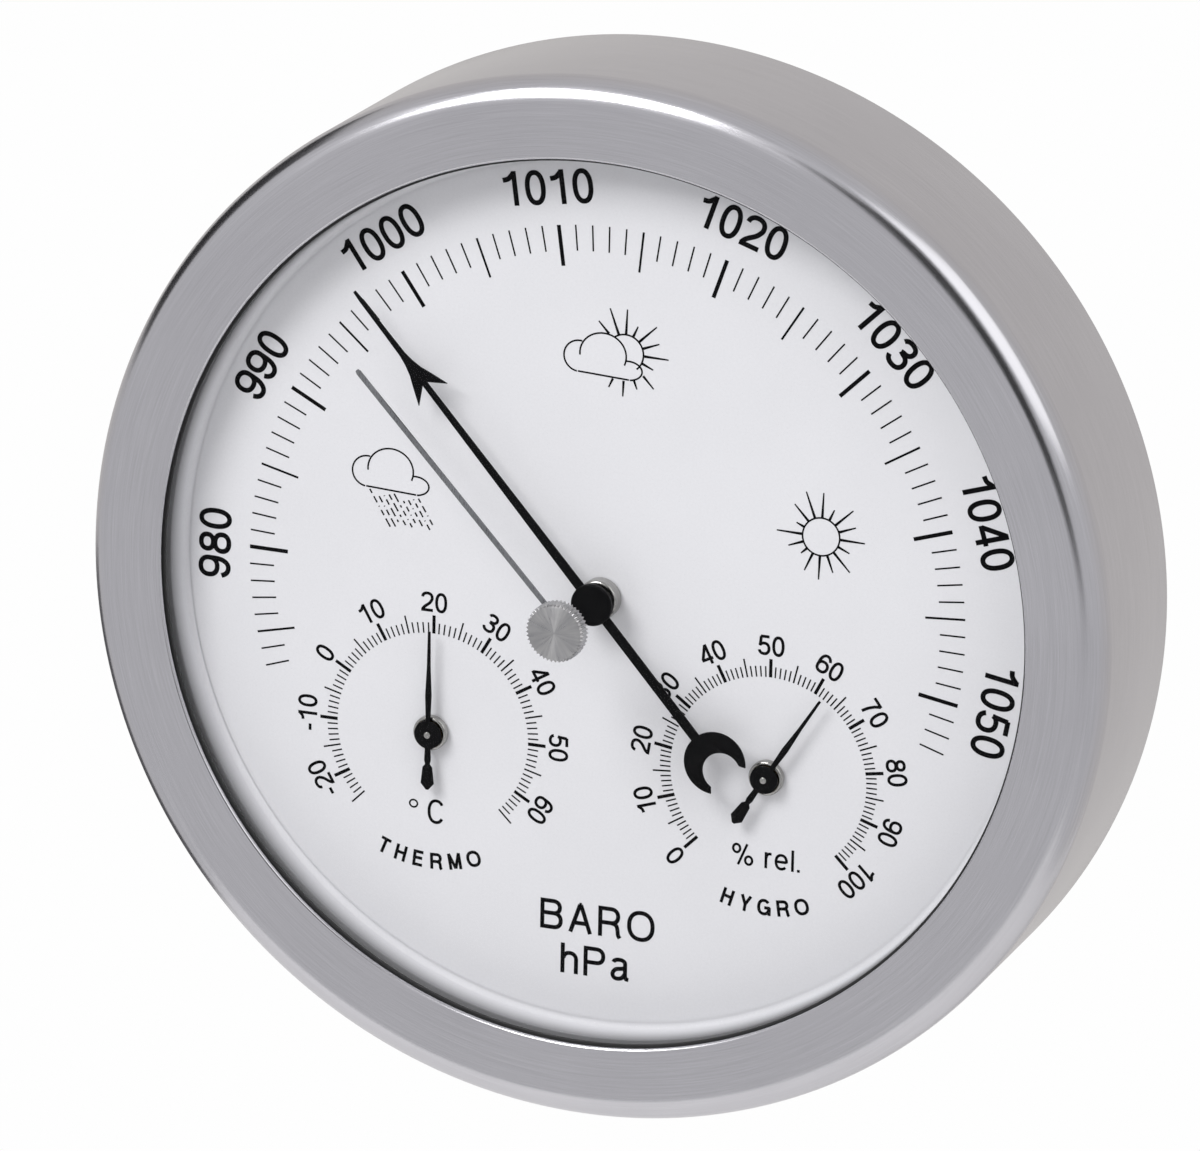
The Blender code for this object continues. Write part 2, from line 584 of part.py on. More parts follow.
def pointer_outline():
    """Needle, barbed arrow head, round centre and a crescent tail, pointing up."""
    half = POINTER_WIDTH / 2
    right = [(0.8 * half, ARROW_BASE + 1.2 * MM), (ARROW_BARB, ARROW_BASE - 1.4 * MM),
             (1.1 * half, ARROW_TIP - 3.0 * MM), (0.75 * half, ARROW_TIP + 2.0 * MM),
             (NEEDLE_HALF, POINTER_LENGTH)]
    left = mirrored(right)
    eye = HUB_RADIUS - 0.4 * MM
    join = math.asin(half / eye) / DEG
    moon = math.asin(half / MOON_RADIUS) / DEG
    outer_left = arc(MOON_RADIUS, 90 + moon, 270 - MOON_OPENING, 10, 0, -MOON_CENTRE)
    bite = arc(BITE_RADIUS, 195, -15, 10, 0, -MOON_CENTRE - BITE_DROP)
    points = arc(eye, -90 + join, 90 - join, 8) + right + left
    points += arc(eye, 90 + join, 270 - join, 8)
    return points + outer_left + bite + mirrored(outer_left)


def mirrored(points):
    """The same points on the other side of the hand, in the order that goes back."""
    return [(-x, z) for x, z in reversed(points)]


def build_set_hand():
    """Knob in front of the window, and the shaft, bush and hand behind it."""
    axis = axis_point("set_axis", turn=SET_ANGLE)
    y_knob = Y_CROWN - GAP
    ridges = []
    for i in range(2 * KNOB_RIDGES):
        radius = KNOB_RADIUS - (i % 2) * KNOB_RIDGE
        angle = math.pi * i / KNOB_RIDGES
        ridges.append((radius * math.cos(angle), radius * math.sin(angle)))
    extruded("set_knob", [ridges], y_knob, y_knob - KNOB_THICKNESS, NICKEL, axis)

    y_inner = Y_CROWN + WINDOW_THICKNESS
    bore = SET_SHAFT_RADIUS + RUNNING
    tube("set_bush", bore, bore + RUNNING, Y_CROWN + 0.1 * MM, y_inner, BRASS)
    y_hand = y_inner + GAP
    y_hand_back = y_hand + SET_HAND_SHEET
    y_head = y_hand_back + GAP
    shaft = [(0, y_knob + GAP), (SET_SHAFT_RADIUS, y_knob + GAP), (SET_SHAFT_RADIUS, y_head),
             (2 * SET_SHAFT_RADIUS, y_head), (2 * SET_SHAFT_RADIUS, y_head + 0.8 * MM),
             (0, y_head + 0.8 * MM)]
    turned("set_shaft", shaft, NICKEL, SMALL, axis)

    hand = extruded("set_hand", [circle(SET_EYE_RADIUS, MEDIUM), circle(bore, SMALL)],
                    y_hand_back, y_hand, STEEL, axis)
    bend = 2 * SET_EYE_RADIUS
    y_tip = Y_DIAL - SET_TIP_RISE
    half = SET_HAND_WIDTH / 2
    start = (bore + SET_EYE_RADIUS) / 2
    side = [(y_hand, start), (y_hand, bend), (y_tip - SET_HAND_SHEET, SET_HAND_LENGTH),
            (y_tip, SET_HAND_LENGTH), (y_hand_back, bend), (y_hand_back, start)]
    strip = extruded("strip_guide", [side], -half, half, STEEL, axis, along="X")
    combine(hand, strip, "UNION")


# ---------------------------------------------------------------- movement

def gear_teeth(count, step, pitch, phase):
    """Outline of straight-sided teeth; phase is the angle of the first one in radians."""
    root, tip = pitch - TOOTH_ROOT, pitch + TOOTH_TIP
    points = []
    for i in range(count):
        for share, radius in ((-0.27, root), (-0.10, tip), (0.10, tip), (0.27, root)):
            angle = phase + (i + share) * step
            points.append((radius * math.cos(angle), radius * math.sin(angle)))
    return points


def build_plates():
    """Front plate on the bush, base plate, three pillars and the carrier spring."""
    front = [clear_of_cans(circle(PLATE_RADIUS, MEDIUM)), circle(BUSH_RADIUS + GAP, SMALL)]
    extruded("front_plate", front, Y_FRONT_PLATE_BACK, Y_FRONT_PLATE, BRASS)
    fixing = PLATE_RADIUS - 6 * MM
    base = [circle(PLATE_RADIUS, MEDIUM), circle(ADJUST_RADIUS + GAP, SMALL, 0, ADJUST_Z),
            circle(CARRIER_SCREW_RADIUS + GAP, SMALL, 0, fixing)]
    extruded("base_plate", base, Y_BASE, Y_BASE_FRONT, BRASS)
    for number, (x, z) in enumerate(circle_places(PILLAR_CIRCLE, 3, 30), start=1):
        rod(f"pillar_{number}", PILLAR_RADIUS, Y_BASE_FRONT - GAP, Y_FRONT_PLATE_BACK + GAP,
            BRASS, place=(x, 0, z))
    half = CARRIER_SPRING_WIDTH / 2
    strip = rectangle(-half, ADJUST_Z - 2.2 * MM, half, fixing + 3 * MM)
    extruded("carrier_spring", [strip, circle(CARRIER_SCREW_RADIUS + GAP, SMALL, 0, fixing)],
             Y_SPRING, Y_SPRING_FRONT, STEEL)
    head = Y_SPRING_FRONT - GAP
    wide = CARRIER_SCREW_RADIUS + 0.9 * MM
    profile = [(0, head - MM), (wide, head - MM), (wide, head), (CARRIER_SCREW_RADIUS, head),
               (CARRIER_SCREW_RADIUS, Y_BASE + 0.5 * MM), (0, Y_BASE + 0.5 * MM)]
    turned("carrier_screw", profile, STEEL, SMALL, place=(0, 0, fixing))


def clear_of_cans(outline):
    """The outline, drawn in wherever it would come too near an instrument's can."""
    clear = CAN_RADIUS + CAN_CLEARANCE
    points = []
    for x, z in outline:
        side = math.copysign(SUB_X, x)
        away = math.hypot(x - side, z - SUB_Z)
        if away < clear:
            x, z = side + (x - side) * clear / away, SUB_Z + (z - SUB_Z) * clear / away
        points.append((x, z))
    return points


def build_adjusting_screw():
    """Slotted screw in the base plate that tips the carrier spring."""
    axis = axis_point("adjust_axis", 0, ADJUST_Z)
    y_head = Y_BASE + GAP
    profile = [(0, Y_SPRING + GAP), (ADJUST_RADIUS, Y_SPRING + GAP), (ADJUST_RADIUS, y_head),
               (ADJUST_HEAD, y_head), (ADJUST_HEAD, y_head + 1.4 * MM), (0, y_head + 1.4 * MM)]
    screw = turned("adjusting_screw", profile, BRASS, SMALL, axis)
    cut = rectangle(-ADJUST_HEAD - MM, -0.4 * MM, ADJUST_HEAD + MM, 0.4 * MM)
    groove = extruded("groove_guide", [cut], y_head + 0.6 * MM, y_head + 2 * MM, BRASS, axis)
    combine(screw, groove, "DIFFERENCE")


def build_capsule():
    """Two corrugated half shells, and the stud that the rocking arm rests on."""
    rim = CAPSULE_RADIUS
    boss = 2.5 * MM
    profile = [(0, Y_CAPSULE), (boss, Y_CAPSULE), (boss, Y_SEAM + CAPSULE_HALF)]
    profile += corrugation(boss + MM, Y_SEAM + CAPSULE_HALF, 1)
    profile += [(rim, Y_SEAM + CAPSULE_SHEET), (rim, Y_SEAM), (rim - CAPSULE_RIM, Y_SEAM)]
    profile += corrugation(boss + MM, Y_SEAM + CAPSULE_HALF - CAPSULE_SHEET, 1)[::-1]
    profile += [(0, Y_SEAM + CAPSULE_HALF - CAPSULE_SHEET)]
    turned("capsule_lower", profile, NICKEL)

    axis = axis_point("capsule_axis", y=Y_CAPSULE_TOP)
    y0 = -Y_CAPSULE_TOP
    top = Y_CAPSULE_TOP
    profile = [(0, top + y0)]
    profile += [(r, y + y0) for r, y in corrugation(boss, top, -1)]
    y_rim = Y_SEAM - CAPSULE_SEAM + y0
    profile += [(rim, y_rim - CAPSULE_SHEET), (rim, y_rim), (rim - CAPSULE_RIM, y_rim)]
    profile += [(r, y + y0) for r, y in corrugation(boss, top + CAPSULE_SHEET, -1)[::-1]]
    profile += [(0, top + CAPSULE_SHEET + y0)]
    turned("capsule_upper", profile, NICKEL, parent=axis)
    stud = [(0, -GAP), (1.6 * MM, -GAP), (1.6 * MM, -GAP - 0.4 * MM), (0.8 * MM, -GAP - 0.4 * MM),
            (0.8 * MM, Y_STUD_TOP + y0), (0, Y_STUD_TOP + y0)]
    turned("capsule_stud", stud, BRASS, SMALL, axis)


def corrugation(start, y, way):
    """(radius, y) points of a half shell's face with shallow waves; way is 1 rear, -1 front."""
    end = CAPSULE_RADIUS - CAPSULE_RIM
    steps = 6
    points = []
    for i in range(steps + 1):
        share = i / steps
        wave = 0.35 * MM * math.sin(share * 3 * math.pi)
        fall = (CAPSULE_HALF - CAPSULE_SHEET) * max(0.0, (share - 0.75) / 0.25)
        points.append((start + (end - start) * share, y - way * (fall + wave)))
    return points


def build_rocker():
    """Rocking shaft with its arm and finger, between two posts on the front plate."""
    axis = axis_point("rocker_axis", 0, -INPUT_ARM, Y_ROCKER)
    post = ROCKER_POST
    x_outer = ROCKER_POST_X
    x_inner = 5.6 * MM
    extruded("rocking_shaft", [circle(ROCKER_RADIUS, SMALL)], x_outer - post, x_inner + post,
             STEEL, axis, along="X")
    bore = ROCKER_RADIUS + GAP
    eye = bore + 0.9 * MM
    arm = lever(eye, -ROCKER_BAR / 2, ROCKER_BAR / 2, INPUT_ARM + MM)
    extruded("rocker_arm", [arm, circle(bore, SMALL)], -MM, MM, BRASS, axis, along="X")
    low = -PIN_RADIUS - GAP - ROCKER_BAR
    finger = [(-b, a) for a, b in lever(eye, low, low + ROCKER_BAR, OUTPUT_ARM + 0.2 * MM)]
    extruded("rocker_finger", [finger, circle(bore, SMALL)], PIN_X - 0.8 * MM,
             PIN_X + 0.8 * MM, BRASS, axis, along="X")
    y_end = Y_ROCKER + bore + 0.6 * MM
    z = -INPUT_ARM
    plan = rectangle(Y_FRONT_PLATE_BACK + GAP, z - 2 * MM, y_end, z + 2 * MM)
    hole = circle(bore, SMALL, Y_ROCKER, z)
    for name, x in (("rocker_post_outer", x_outer - post), ("rocker_post_inner", x_inner)):
        extruded(name, [plan, hole], x, x + post, BRASS, along="X")


def lever(eye, low, high, reach):
    """Round eye with a straight bar between low and high, rising to reach."""
    start = math.acos(low / eye) / DEG
    end = math.acos(high / eye) / DEG
    return arc(eye, start, end + 360, 14) + [(high, reach), (low, reach)]


def build_sector():
    """Toothed sector with its drive pin, turning on a shouldered stud."""
    axis = axis_point("sector_axis", STUD_X, STUD_Z)
    step = 2 * math.pi / SECTOR_FULL_TEETH
    phase = MESH_ANGLE + (SECTOR_FIRST + 0.5) * step
    teeth = gear_teeth(SECTOR_TEETH, step, SECTOR_PITCH, phase)
    hub = PIN_ARM + 2 * PIN_RADIUS
    start = MESH_ANGLE / DEG + 24
    extruded("sector_gear", [teeth + arc(hub, start, start + 310, 14),
                             circle(ROCKER_RADIUS + RUNNING, SMALL)],
             Y_SECTOR_BACK, Y_SECTOR, BRASS, axis)
    y_pin = Y_SECTOR_BACK + GAP
    rod("sector_pin", PIN_RADIUS, y_pin, y_pin + 1.3 * MM, STEEL, SMALL, axis,
        (PIN_ARM, 0, 0))
    y_shoulder = Y_SECTOR - GAP
    y_plate = Y_FRONT_PLATE_BACK + GAP
    collar = 2 * ROCKER_RADIUS
    stud = [(0, Y_SECTOR_BACK), (ROCKER_RADIUS, Y_SECTOR_BACK), (ROCKER_RADIUS, y_shoulder),
            (collar, y_shoulder), (collar, y_plate), (0, y_plate)]
    turned("sector_stud", stud, STEEL, SMALL, place=(STUD_X, 0, STUD_Z))


def clear_scene():
    """Remove whatever the file holds."""
    for item in list(bpy.data.objects):
        bpy.data.objects.remove(item, do_unlink=True)


def main():
    """Build every piece of the barometer."""
    clear_scene()
    build_case()
    build_window()
    build_sleeve()
    build_cover()
    build_small_instrument("thermometer", -1, THERMO_READING, THERMO_CENTRE, THERMO_STEP,
                           20.2 * MM, BRASS)
    build_small_instrument("hygrometer", 1, HYGRO_READING, HYGRO_CENTRE, HYGRO_STEP,
                           19.6 * MM, FILM)
    build_pointer()
    build_set_hand()
    build_plates()
    build_adjusting_screw()
    build_capsule()
    build_rocker()
    build_sector()


main()
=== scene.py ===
"""Looks of a round wall barometer with a thermometer and a hygrometer in its dial.

Metres, +Z up, and the dial faces -Y. A positive turn about +Y is clockwise as the dial is
read. Every piece is made where it stands at rest, so its object sits at the origin.
"""
import logging
import math
from dataclasses import dataclass
from enum import Enum

import bmesh
import bpy
from mathutils import Matrix, Vector


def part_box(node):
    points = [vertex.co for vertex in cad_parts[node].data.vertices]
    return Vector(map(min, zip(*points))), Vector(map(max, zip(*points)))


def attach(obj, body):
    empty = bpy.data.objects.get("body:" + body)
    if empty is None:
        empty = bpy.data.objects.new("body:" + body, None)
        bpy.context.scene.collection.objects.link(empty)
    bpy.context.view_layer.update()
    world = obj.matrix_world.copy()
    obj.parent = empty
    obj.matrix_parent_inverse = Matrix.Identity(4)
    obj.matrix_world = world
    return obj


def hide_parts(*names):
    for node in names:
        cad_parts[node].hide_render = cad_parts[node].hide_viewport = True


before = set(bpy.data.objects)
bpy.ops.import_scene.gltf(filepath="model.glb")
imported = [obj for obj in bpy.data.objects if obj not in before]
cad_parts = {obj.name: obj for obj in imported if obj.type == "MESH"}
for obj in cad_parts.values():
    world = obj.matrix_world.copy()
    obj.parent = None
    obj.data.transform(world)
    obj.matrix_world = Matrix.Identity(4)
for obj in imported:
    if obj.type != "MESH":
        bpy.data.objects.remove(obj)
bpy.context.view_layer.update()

Pair = tuple[float, float]
Profile = list[Pair]

MM = 0.001
LOG = logging.getLogger("barometer")

# Centre of the hygrometer's scale in millimetres. The thermometer's is at -SUB_X.
SUB_X, SUB_Z = 33.35, -30.5
# Radius of the pressure scale's outer edge, in metres.
SCALE_REACH = 0.07067

# Noise stays near one half. Between these ends it is stretched over 0 to 1.
NOISE_LOW, NOISE_HIGH = 0.28, 0.72
NOISE_DETAIL = 3.0
# Distance in millimetres from the axis at which marks have the sizes that a finish gives.
MARK_RADIUS = 60.0
# Pointiness of an edge where wear starts, and where it is full.
WEAR_FROM, WEAR_TO = 0.52, 0.62
# Quarter turn of the stretched gloss, for marks that run out from the axis.
QUARTER_TURN = 0.25
# Colour of a painted shade at its darkest end.
PAINTED_SHADE_DARK = "1A1A1D"


# ------------------------------------------------------------------ colour and nodes

def linear(code: str) -> tuple[float, float, float, float]:
    """Turn an sRGB hex code into a linear colour with alpha.

    Args:
        code: six hex digits, such as "E0E0E5".

    Returns:
        Red, green, blue and alpha, each from 0 to 1.
    """
    parts = [int(code[i:i + 2], 16) / 255 for i in (0, 2, 4)]
    red, green, blue = (c / 12.92 if c <= 0.04045 else ((c + 0.055) / 1.055) ** 2.4
                        for c in parts)
    return red, green, blue, 1.0


def add_node(tree: bpy.types.NodeTree, kind: str, settings: dict | None = None,
             inputs: dict | None = None) -> bpy.types.Node:
    """Add a node, set it up and link it.

    Args:
        tree: the material's node tree.
        kind: the node's type name.
        settings: attributes of the node.
        inputs: socket name or number to a constant, or to the output socket that feeds it.

    Returns:
        The new node.
    """
    made = tree.nodes.new(kind)
    for key, value in (settings or {}).items():
        setattr(made, key, value)
    for key, value in (inputs or {}).items():
        if isinstance(value, bpy.types.NodeSocket):
            tree.links.new(value, made.inputs[key])
        else:
            made.inputs[key].default_value = value
    return made


class Pattern(Enum):
    """How the marks left by making the surface run."""

    ROUND = "lines round the axis"
    CONE = "lines out from the axis"
    UPRIGHT = "straight lines along Z"
    GRAIN = "no direction"


@dataclass(frozen=True)
class Finish:
    """A real material with the surface that its making gave it.

    Sizes are in millimetres. The marks fade from the dark to the light colour and from the
    smooth to the rough value, and press into the surface by their depth. The mottle is the
    slow change of tone across the piece, and the wear is how far edges lighten. The painted
    shade is the span of y over which a painted dark shade fades to the piece's own colour.
    """

    name: str
    dark: str
    light: str
    smooth: float
    rough: float
    pattern: Pattern = Pattern.GRAIN
    pitch: float = 0.3
    run: float = 12.0
    depth: float = 0.01
    metallic: float = 0.0
    mottle: float = 14.0
    mottle_share: float = 0.4
    wear: float = 0.0
    along: float = 0.0
    sheen: float = 0.0
    ior: float = 1.5
    gloss: float = 0.5
    # Span of y over which a painted shade darkens the piece towards the front, or None.
    bloom: tuple[float, float] | None = None
    axis: Pair = (0.0, 0.0)

    def about(self, x: float, z: float) -> "Finish":
        """The same finish with its round marks about another axis, in metres."""
        values = dict(self.__dict__, axis=(x, z), name=f"{self.name}_{round(x / MM)}")
        return Finish(**values)

    def material(self) -> bpy.types.Material:
        """Build the material, or return it if it is already there.

        Returns:
            The node material of this finish.
        """
        ready = bpy.data.materials.get(self.name)
        if ready:
            return ready
        made = bpy.data.materials.new(self.name)
        made.use_nodes = True
        tree = made.node_tree
        tree.nodes.clear()
        marks = self.marks(tree)
        shade = self.shade(tree, marks)
        rough = add_node(tree, "ShaderNodeMapRange", None, {
            "Value": marks, "To Min": self.smooth, "To Max": self.rough})
        bump = add_node(tree, "ShaderNodeBump", None, {
            "Height": marks, "Distance": self.depth * MM, "Strength": 1.0})
        shader = add_node(tree, "ShaderNodeBsdfPrincipled", None, {
            "Base Color": shade, "Roughness": rough.outputs[0], "Metallic": self.metallic,
            "Normal": bump.outputs[0]})
        if self.metallic < 1:
            shader.inputs["IOR"].default_value = self.ior
            shader.inputs["Specular IOR Level"].default_value = self.gloss
        if self.sheen:
            shader.inputs["Sheen Weight"].default_value = self.sheen
        if self.along:
            shader.inputs["Anisotropic"].default_value = self.along
            if self.pattern is Pattern.CONE:
                shader.inputs["Anisotropic Rotation"].default_value = QUARTER_TURN
            tangent = add_node(tree, "ShaderNodeTangent",
                               {"direction_type": "RADIAL", "axis": "Y"})
            tree.links.new(tangent.outputs[0], shader.inputs["Tangent"])
        add_node(tree, "ShaderNodeOutputMaterial", None, {"Surface": shader.outputs[0]})
        return made

    def marks(self, tree: bpy.types.NodeTree) -> bpy.types.NodeSocket:
        """Add the nodes that draw the making marks.

        Args:
            tree: the material's node tree.

        Returns:
            The socket with the marks, from 0 to 1.
        """
        point = add_node(tree, "ShaderNodeTexCoord").outputs["Object"]
        moved = add_node(tree, "ShaderNodeVectorMath", {"operation": "SUBTRACT"}, {
            0: point, 1: (self.axis[0], 0.0, self.axis[1])}).outputs[0]
        if self.pattern is Pattern.GRAIN:
            fine = self.noise(tree, moved, 1 / (self.pitch * MM))
            return self.spread(tree, fine)
        if self.pattern is Pattern.UPRIGHT:
            squeeze = (1 / (self.pitch * MM), 1 / (self.pitch * MM), 1 / (self.run * MM))
            scaled = add_node(tree, "ShaderNodeVectorMath", {"operation": "MULTIPLY"}, {
                0: moved, 1: squeeze}).outputs[0]
            return self.spread(tree, self.noise(tree, scaled, 1.0))
        flat = add_node(tree, "ShaderNodeVectorMath", {"operation": "MULTIPLY"}, {
            0: moved, 1: (1.0, 0.0, 1.0)}).outputs[0]
        unit = add_node(tree, "ShaderNodeVectorMath", {"operation": "NORMALIZE"},
                        {0: flat}).outputs[0]
        radius = add_node(tree, "ShaderNodeVectorMath", {"operation": "LENGTH"},
                          {0: flat}).outputs["Value"]
        depth = add_node(tree, "ShaderNodeSeparateXYZ", None, {0: moved}).outputs["Y"]
        across, length = 1 / (self.pitch * MM), MARK_RADIUS / self.run
        if self.pattern is Pattern.CONE:
            across, length = 1 / (self.run * MM), MARK_RADIUS / self.pitch
        wound = add_node(tree, "ShaderNodeVectorMath", {"operation": "SCALE"}, {
            0: unit, "Scale": length}).outputs[0]
        parts = add_node(tree, "ShaderNodeSeparateXYZ", None, {0: wound})
        out = add_node(tree, "ShaderNodeMath", {"operation": "MULTIPLY"}, {
            0: radius, 1: across}).outputs[0]
        back = add_node(tree, "ShaderNodeMath", {"operation": "MULTIPLY"}, {
            0: depth, 1: across}).outputs[0]
        ring = add_node(tree, "ShaderNodeCombineXYZ", None, {
            "X": parts.outputs["X"], "Y": out, "Z": parts.outputs["Z"]}).outputs[0]
        lines = add_node(tree, "ShaderNodeTexNoise", {"noise_dimensions": "4D"}, {
            "Vector": ring, "W": back, "Scale": 1.0, "Detail": NOISE_DETAIL,
            "Roughness": 0.6}).outputs[0]
        return self.spread(tree, lines)

    def noise(self, tree: bpy.types.NodeTree, point: bpy.types.NodeSocket,
              scale: float) -> bpy.types.NodeSocket:
        """Soft cloudy noise of the given scale at that point."""
        return add_node(tree, "ShaderNodeTexNoise", None, {
            "Vector": point, "Scale": scale, "Detail": NOISE_DETAIL,
            "Roughness": 0.55}).outputs[0]

    def spread(self, tree: bpy.types.NodeTree,
               value: bpy.types.NodeSocket) -> bpy.types.NodeSocket:
        """Stretch noise, which stays near one half, over the whole of 0 to 1."""
        return add_node(tree, "ShaderNodeMapRange", None, {
            "Value": value, "From Min": NOISE_LOW, "From Max": NOISE_HIGH}).outputs[0]

    def shade(self, tree: bpy.types.NodeTree,
              marks: bpy.types.NodeSocket) -> bpy.types.NodeSocket:
        """Add the nodes that colour the surface by its marks, its mottle and its wear, or by a
        painted shade.

        Args:
            tree: the material's node tree.
            marks: the making marks, from 0 to 1.

        Returns:
            The socket with the colour.
        """
        point = add_node(tree, "ShaderNodeTexCoord").outputs["Object"]
        slow = self.spread(tree, self.noise(tree, point, 1 / (self.mottle * MM)))
        tone = add_node(tree, "ShaderNodeMix", {"data_type": "FLOAT"}, {
            "Factor": self.mottle_share, "A": marks, "B": slow}).outputs["Result"]
        mixed = add_node(tree, "ShaderNodeMix", {"data_type": "RGBA"}, {
            "Factor": tone, "A": linear(self.dark), "B": linear(self.light)})
        # Painted shade: the piece is drawn darker towards the front along y and fades to its own
        # colour.
        if self.bloom:
            depth = add_node(tree, "ShaderNodeSeparateXYZ", None, {0: point}).outputs["Y"]
            near = add_node(tree, "ShaderNodeMapRange", {"interpolation_type": "SMOOTHSTEP"}, {
                "Value": depth, "From Min": self.bloom[0] * MM, "From Max": self.bloom[1] * MM})
            return add_node(tree, "ShaderNodeMix", {"data_type": "RGBA"}, {
                "Factor": near.outputs[0], "A": linear(PAINTED_SHADE_DARK),
                "B": mixed.outputs[2]}).outputs[2]
        if not self.wear:
            return mixed.outputs[2]
        edge = add_node(tree, "ShaderNodeNewGeometry").outputs["Pointiness"]
        worn = add_node(tree, "ShaderNodeMapRange", None, {
            "Value": edge, "From Min": WEAR_FROM, "From Max": WEAR_TO, "To Max": self.wear})
        return add_node(tree, "ShaderNodeMix", {"data_type": "RGBA"}, {
            "Factor": worn.outputs[0], "A": mixed.outputs[2],
            "B": linear(self.light)}).outputs[2]


@dataclass(frozen=True)
class ClearSheet:
    """Pressed mineral glass of the window, 1.6 mm thick and polished.

    It gives the eye almost nothing but a faint reflection that grows towards the rim, so it
    is a see-through sheet with a little gloss that rises at a slant, uneven like wiped glass.
    """

    name: str = "pressed_clear_glass"
    tint: str = "FFFFFF"
    straight_gloss: float = 0.0015
    rim_gloss: float = 0.5

    def material(self) -> bpy.types.Material:
        """Build the glass.

        Returns:
            The node material.
        """
        made = bpy.data.materials.new(self.name)
        made.use_nodes = True
        tree = made.node_tree
        tree.nodes.clear()
        point = add_node(tree, "ShaderNodeTexCoord").outputs["Object"]
        wiped = add_node(tree, "ShaderNodeTexNoise", None, {
            "Vector": point, "Scale": 1 / (25 * MM), "Detail": 2.0}).outputs[0]
        rough = add_node(tree, "ShaderNodeMapRange", None, {
            "Value": wiped, "To Min": 0.03, "To Max": 0.14}).outputs[0]
        facing = add_node(tree, "ShaderNodeLayerWeight", None, {"Blend": 0.5})
        rim = add_node(tree, "ShaderNodeMath", {"operation": "POWER"}, {
            0: facing.outputs["Facing"], 1: 5.0}).outputs[0]
        share = add_node(tree, "ShaderNodeMapRange", None, {
            "Value": rim, "To Min": self.straight_gloss, "To Max": self.rim_gloss}).outputs[0]
        clear = add_node(tree, "ShaderNodeBsdfTransparent", None, {
            "Color": linear(self.tint)}).outputs[0]
        gloss = add_node(tree, "ShaderNodeBsdfPrincipled", None, {
            "Base Color": linear(self.tint), "Metallic": 1.0, "Roughness": rough}).outputs[0]
        both = add_node(tree, "ShaderNodeMixShader", None, {
            0: share, 1: clear, 2: gloss}).outputs[0]
        add_node(tree, "ShaderNodeOutputMaterial", None, {"Surface": both})
        return made


# 304 stainless sheet, spun over a former and brushed on the lathe with 240 grit: a satin
# grey with fine rings. Grit lines are about 0.06 mm apart, too fine to show, so they are
# drawn at 0.16 mm.
BRUSHED_STEEL = Finish("brushed_stainless_case", "BFBEC2", "D0CFD3", 0.17, 0.25, Pattern.ROUND,
                       pitch=0.16, run=9.0, depth=0.002, metallic=1.0, mottle=30.0,
                       mottle_share=0.25, along=0.25)
# Offset-printed white lacquer on an aluminium sheet: even, cool white with a faint grain.
DIAL_LACQUER = Finish("dial_white_lacquer", "DADADD", "E2E2E5", 0.42, 0.56, pitch=0.5,
                      depth=0.002, mottle=45.0, mottle_share=0.5)
# Black screen ink, thick enough to catch a little light; grain of the mesh 0.15 mm.
BLACK_INK = Finish("screen_ink_black", "040405", "08080B", 0.45, 0.6, pitch=0.15, depth=0.003,
                   mottle=6.0, gloss=0.06)
# Moulded white ABS of the ring between window and dial, satin, spark-eroded grain 0.4 mm.
# It is drawn dark at the window and fades towards the dial. That is a drawn tone, which
# stands in for the shade under the rim, and not a stain on the real moulding.
WHITE_ABS = Finish("moulded_white_abs", "D6D6D9", "DEDEE1", 0.5, 0.6, pitch=0.4, depth=0.003,
                   mottle=20.0, ior=1.54, gloss=0.2, bloom=(-39.0, -30.6))
# Moulded black ABS of the cover and sleeve, with the mould's 0.5 mm leather-like grain.
BLACK_ABS = Finish("moulded_black_abs", "161719", "232427", 0.42, 0.62, pitch=0.5, depth=0.03,
                   mottle=18.0, wear=0.25, ior=1.54)
# EPDM rubber of the gasket, extruded: dull black with fine lengthwise drag lines.
GASKET_RUBBER = Finish("extruded_black_rubber", "0D0D0E", "1A1A1B", 0.6, 0.8, Pattern.ROUND,
                       pitch=0.15, run=20.0, depth=0.006, sheen=0.1, ior=1.52)
# Stoved black lacquer on the stamped hands: half gloss with slight orange peel, 0.5 mm.
BLACK_LACQUER = Finish("stoved_black_lacquer", "040405", "08080A", 0.34, 0.48, pitch=0.5,
                       depth=0.002, mottle=8.0, wear=0.06, ior=1.52, gloss=0.08)
# Bright nickel over turned brass: tool rings every 0.12 mm, drawn at 0.2 mm.
TURNED_NICKEL = Finish("turned_bright_nickel", "8F8E8B", "BDBCB9", 0.14, 0.3, Pattern.ROUND,
                       pitch=0.2, run=25.0, depth=0.004, metallic=1.0, mottle=5.0, along=0.4)
# Aluminium knob, faced with a flat cut, so the sheen stands out from the centre in wedges.
FACED_ALUMINIUM = Finish("faced_aluminium_knob", "97979A", "C4C3C2", 0.24, 0.4, Pattern.CONE,
                         pitch=9.0, run=6.0, depth=0.006, metallic=1.0, mottle=4.0,
                         mottle_share=0.3, along=0.75)
# Rolled spring steel of the set hand, drawn bright, with lengthwise drawing lines.
DRAWN_STEEL = Finish("drawn_spring_steel", "6C6D6F", "96979A", 0.24, 0.4, Pattern.UPRIGHT,
                     pitch=0.12, run=9.0, depth=0.004, metallic=1.0, mottle=9.0)
# Zinc-plated steel of screws, rivets and hanger: slightly bluish, with a spangle of 2 mm.
ZINC_STEEL = Finish("zinc_plated_steel", "8F9499", "B5B9BC", 0.3, 0.46, pitch=2.0, depth=0.008,
                    metallic=1.0, mottle=6.0, wear=0.3)
# Rolled brass sheet of the movement's plates and levers, with a thin brown tarnish.
ROLLED_BRASS = Finish("rolled_brass", "8C6B33", "C6A25A", 0.26, 0.42, Pattern.UPRIGHT,
                      pitch=0.25, run=14.0, depth=0.005, metallic=1.0, mottle=7.0,
                      mottle_share=0.55)
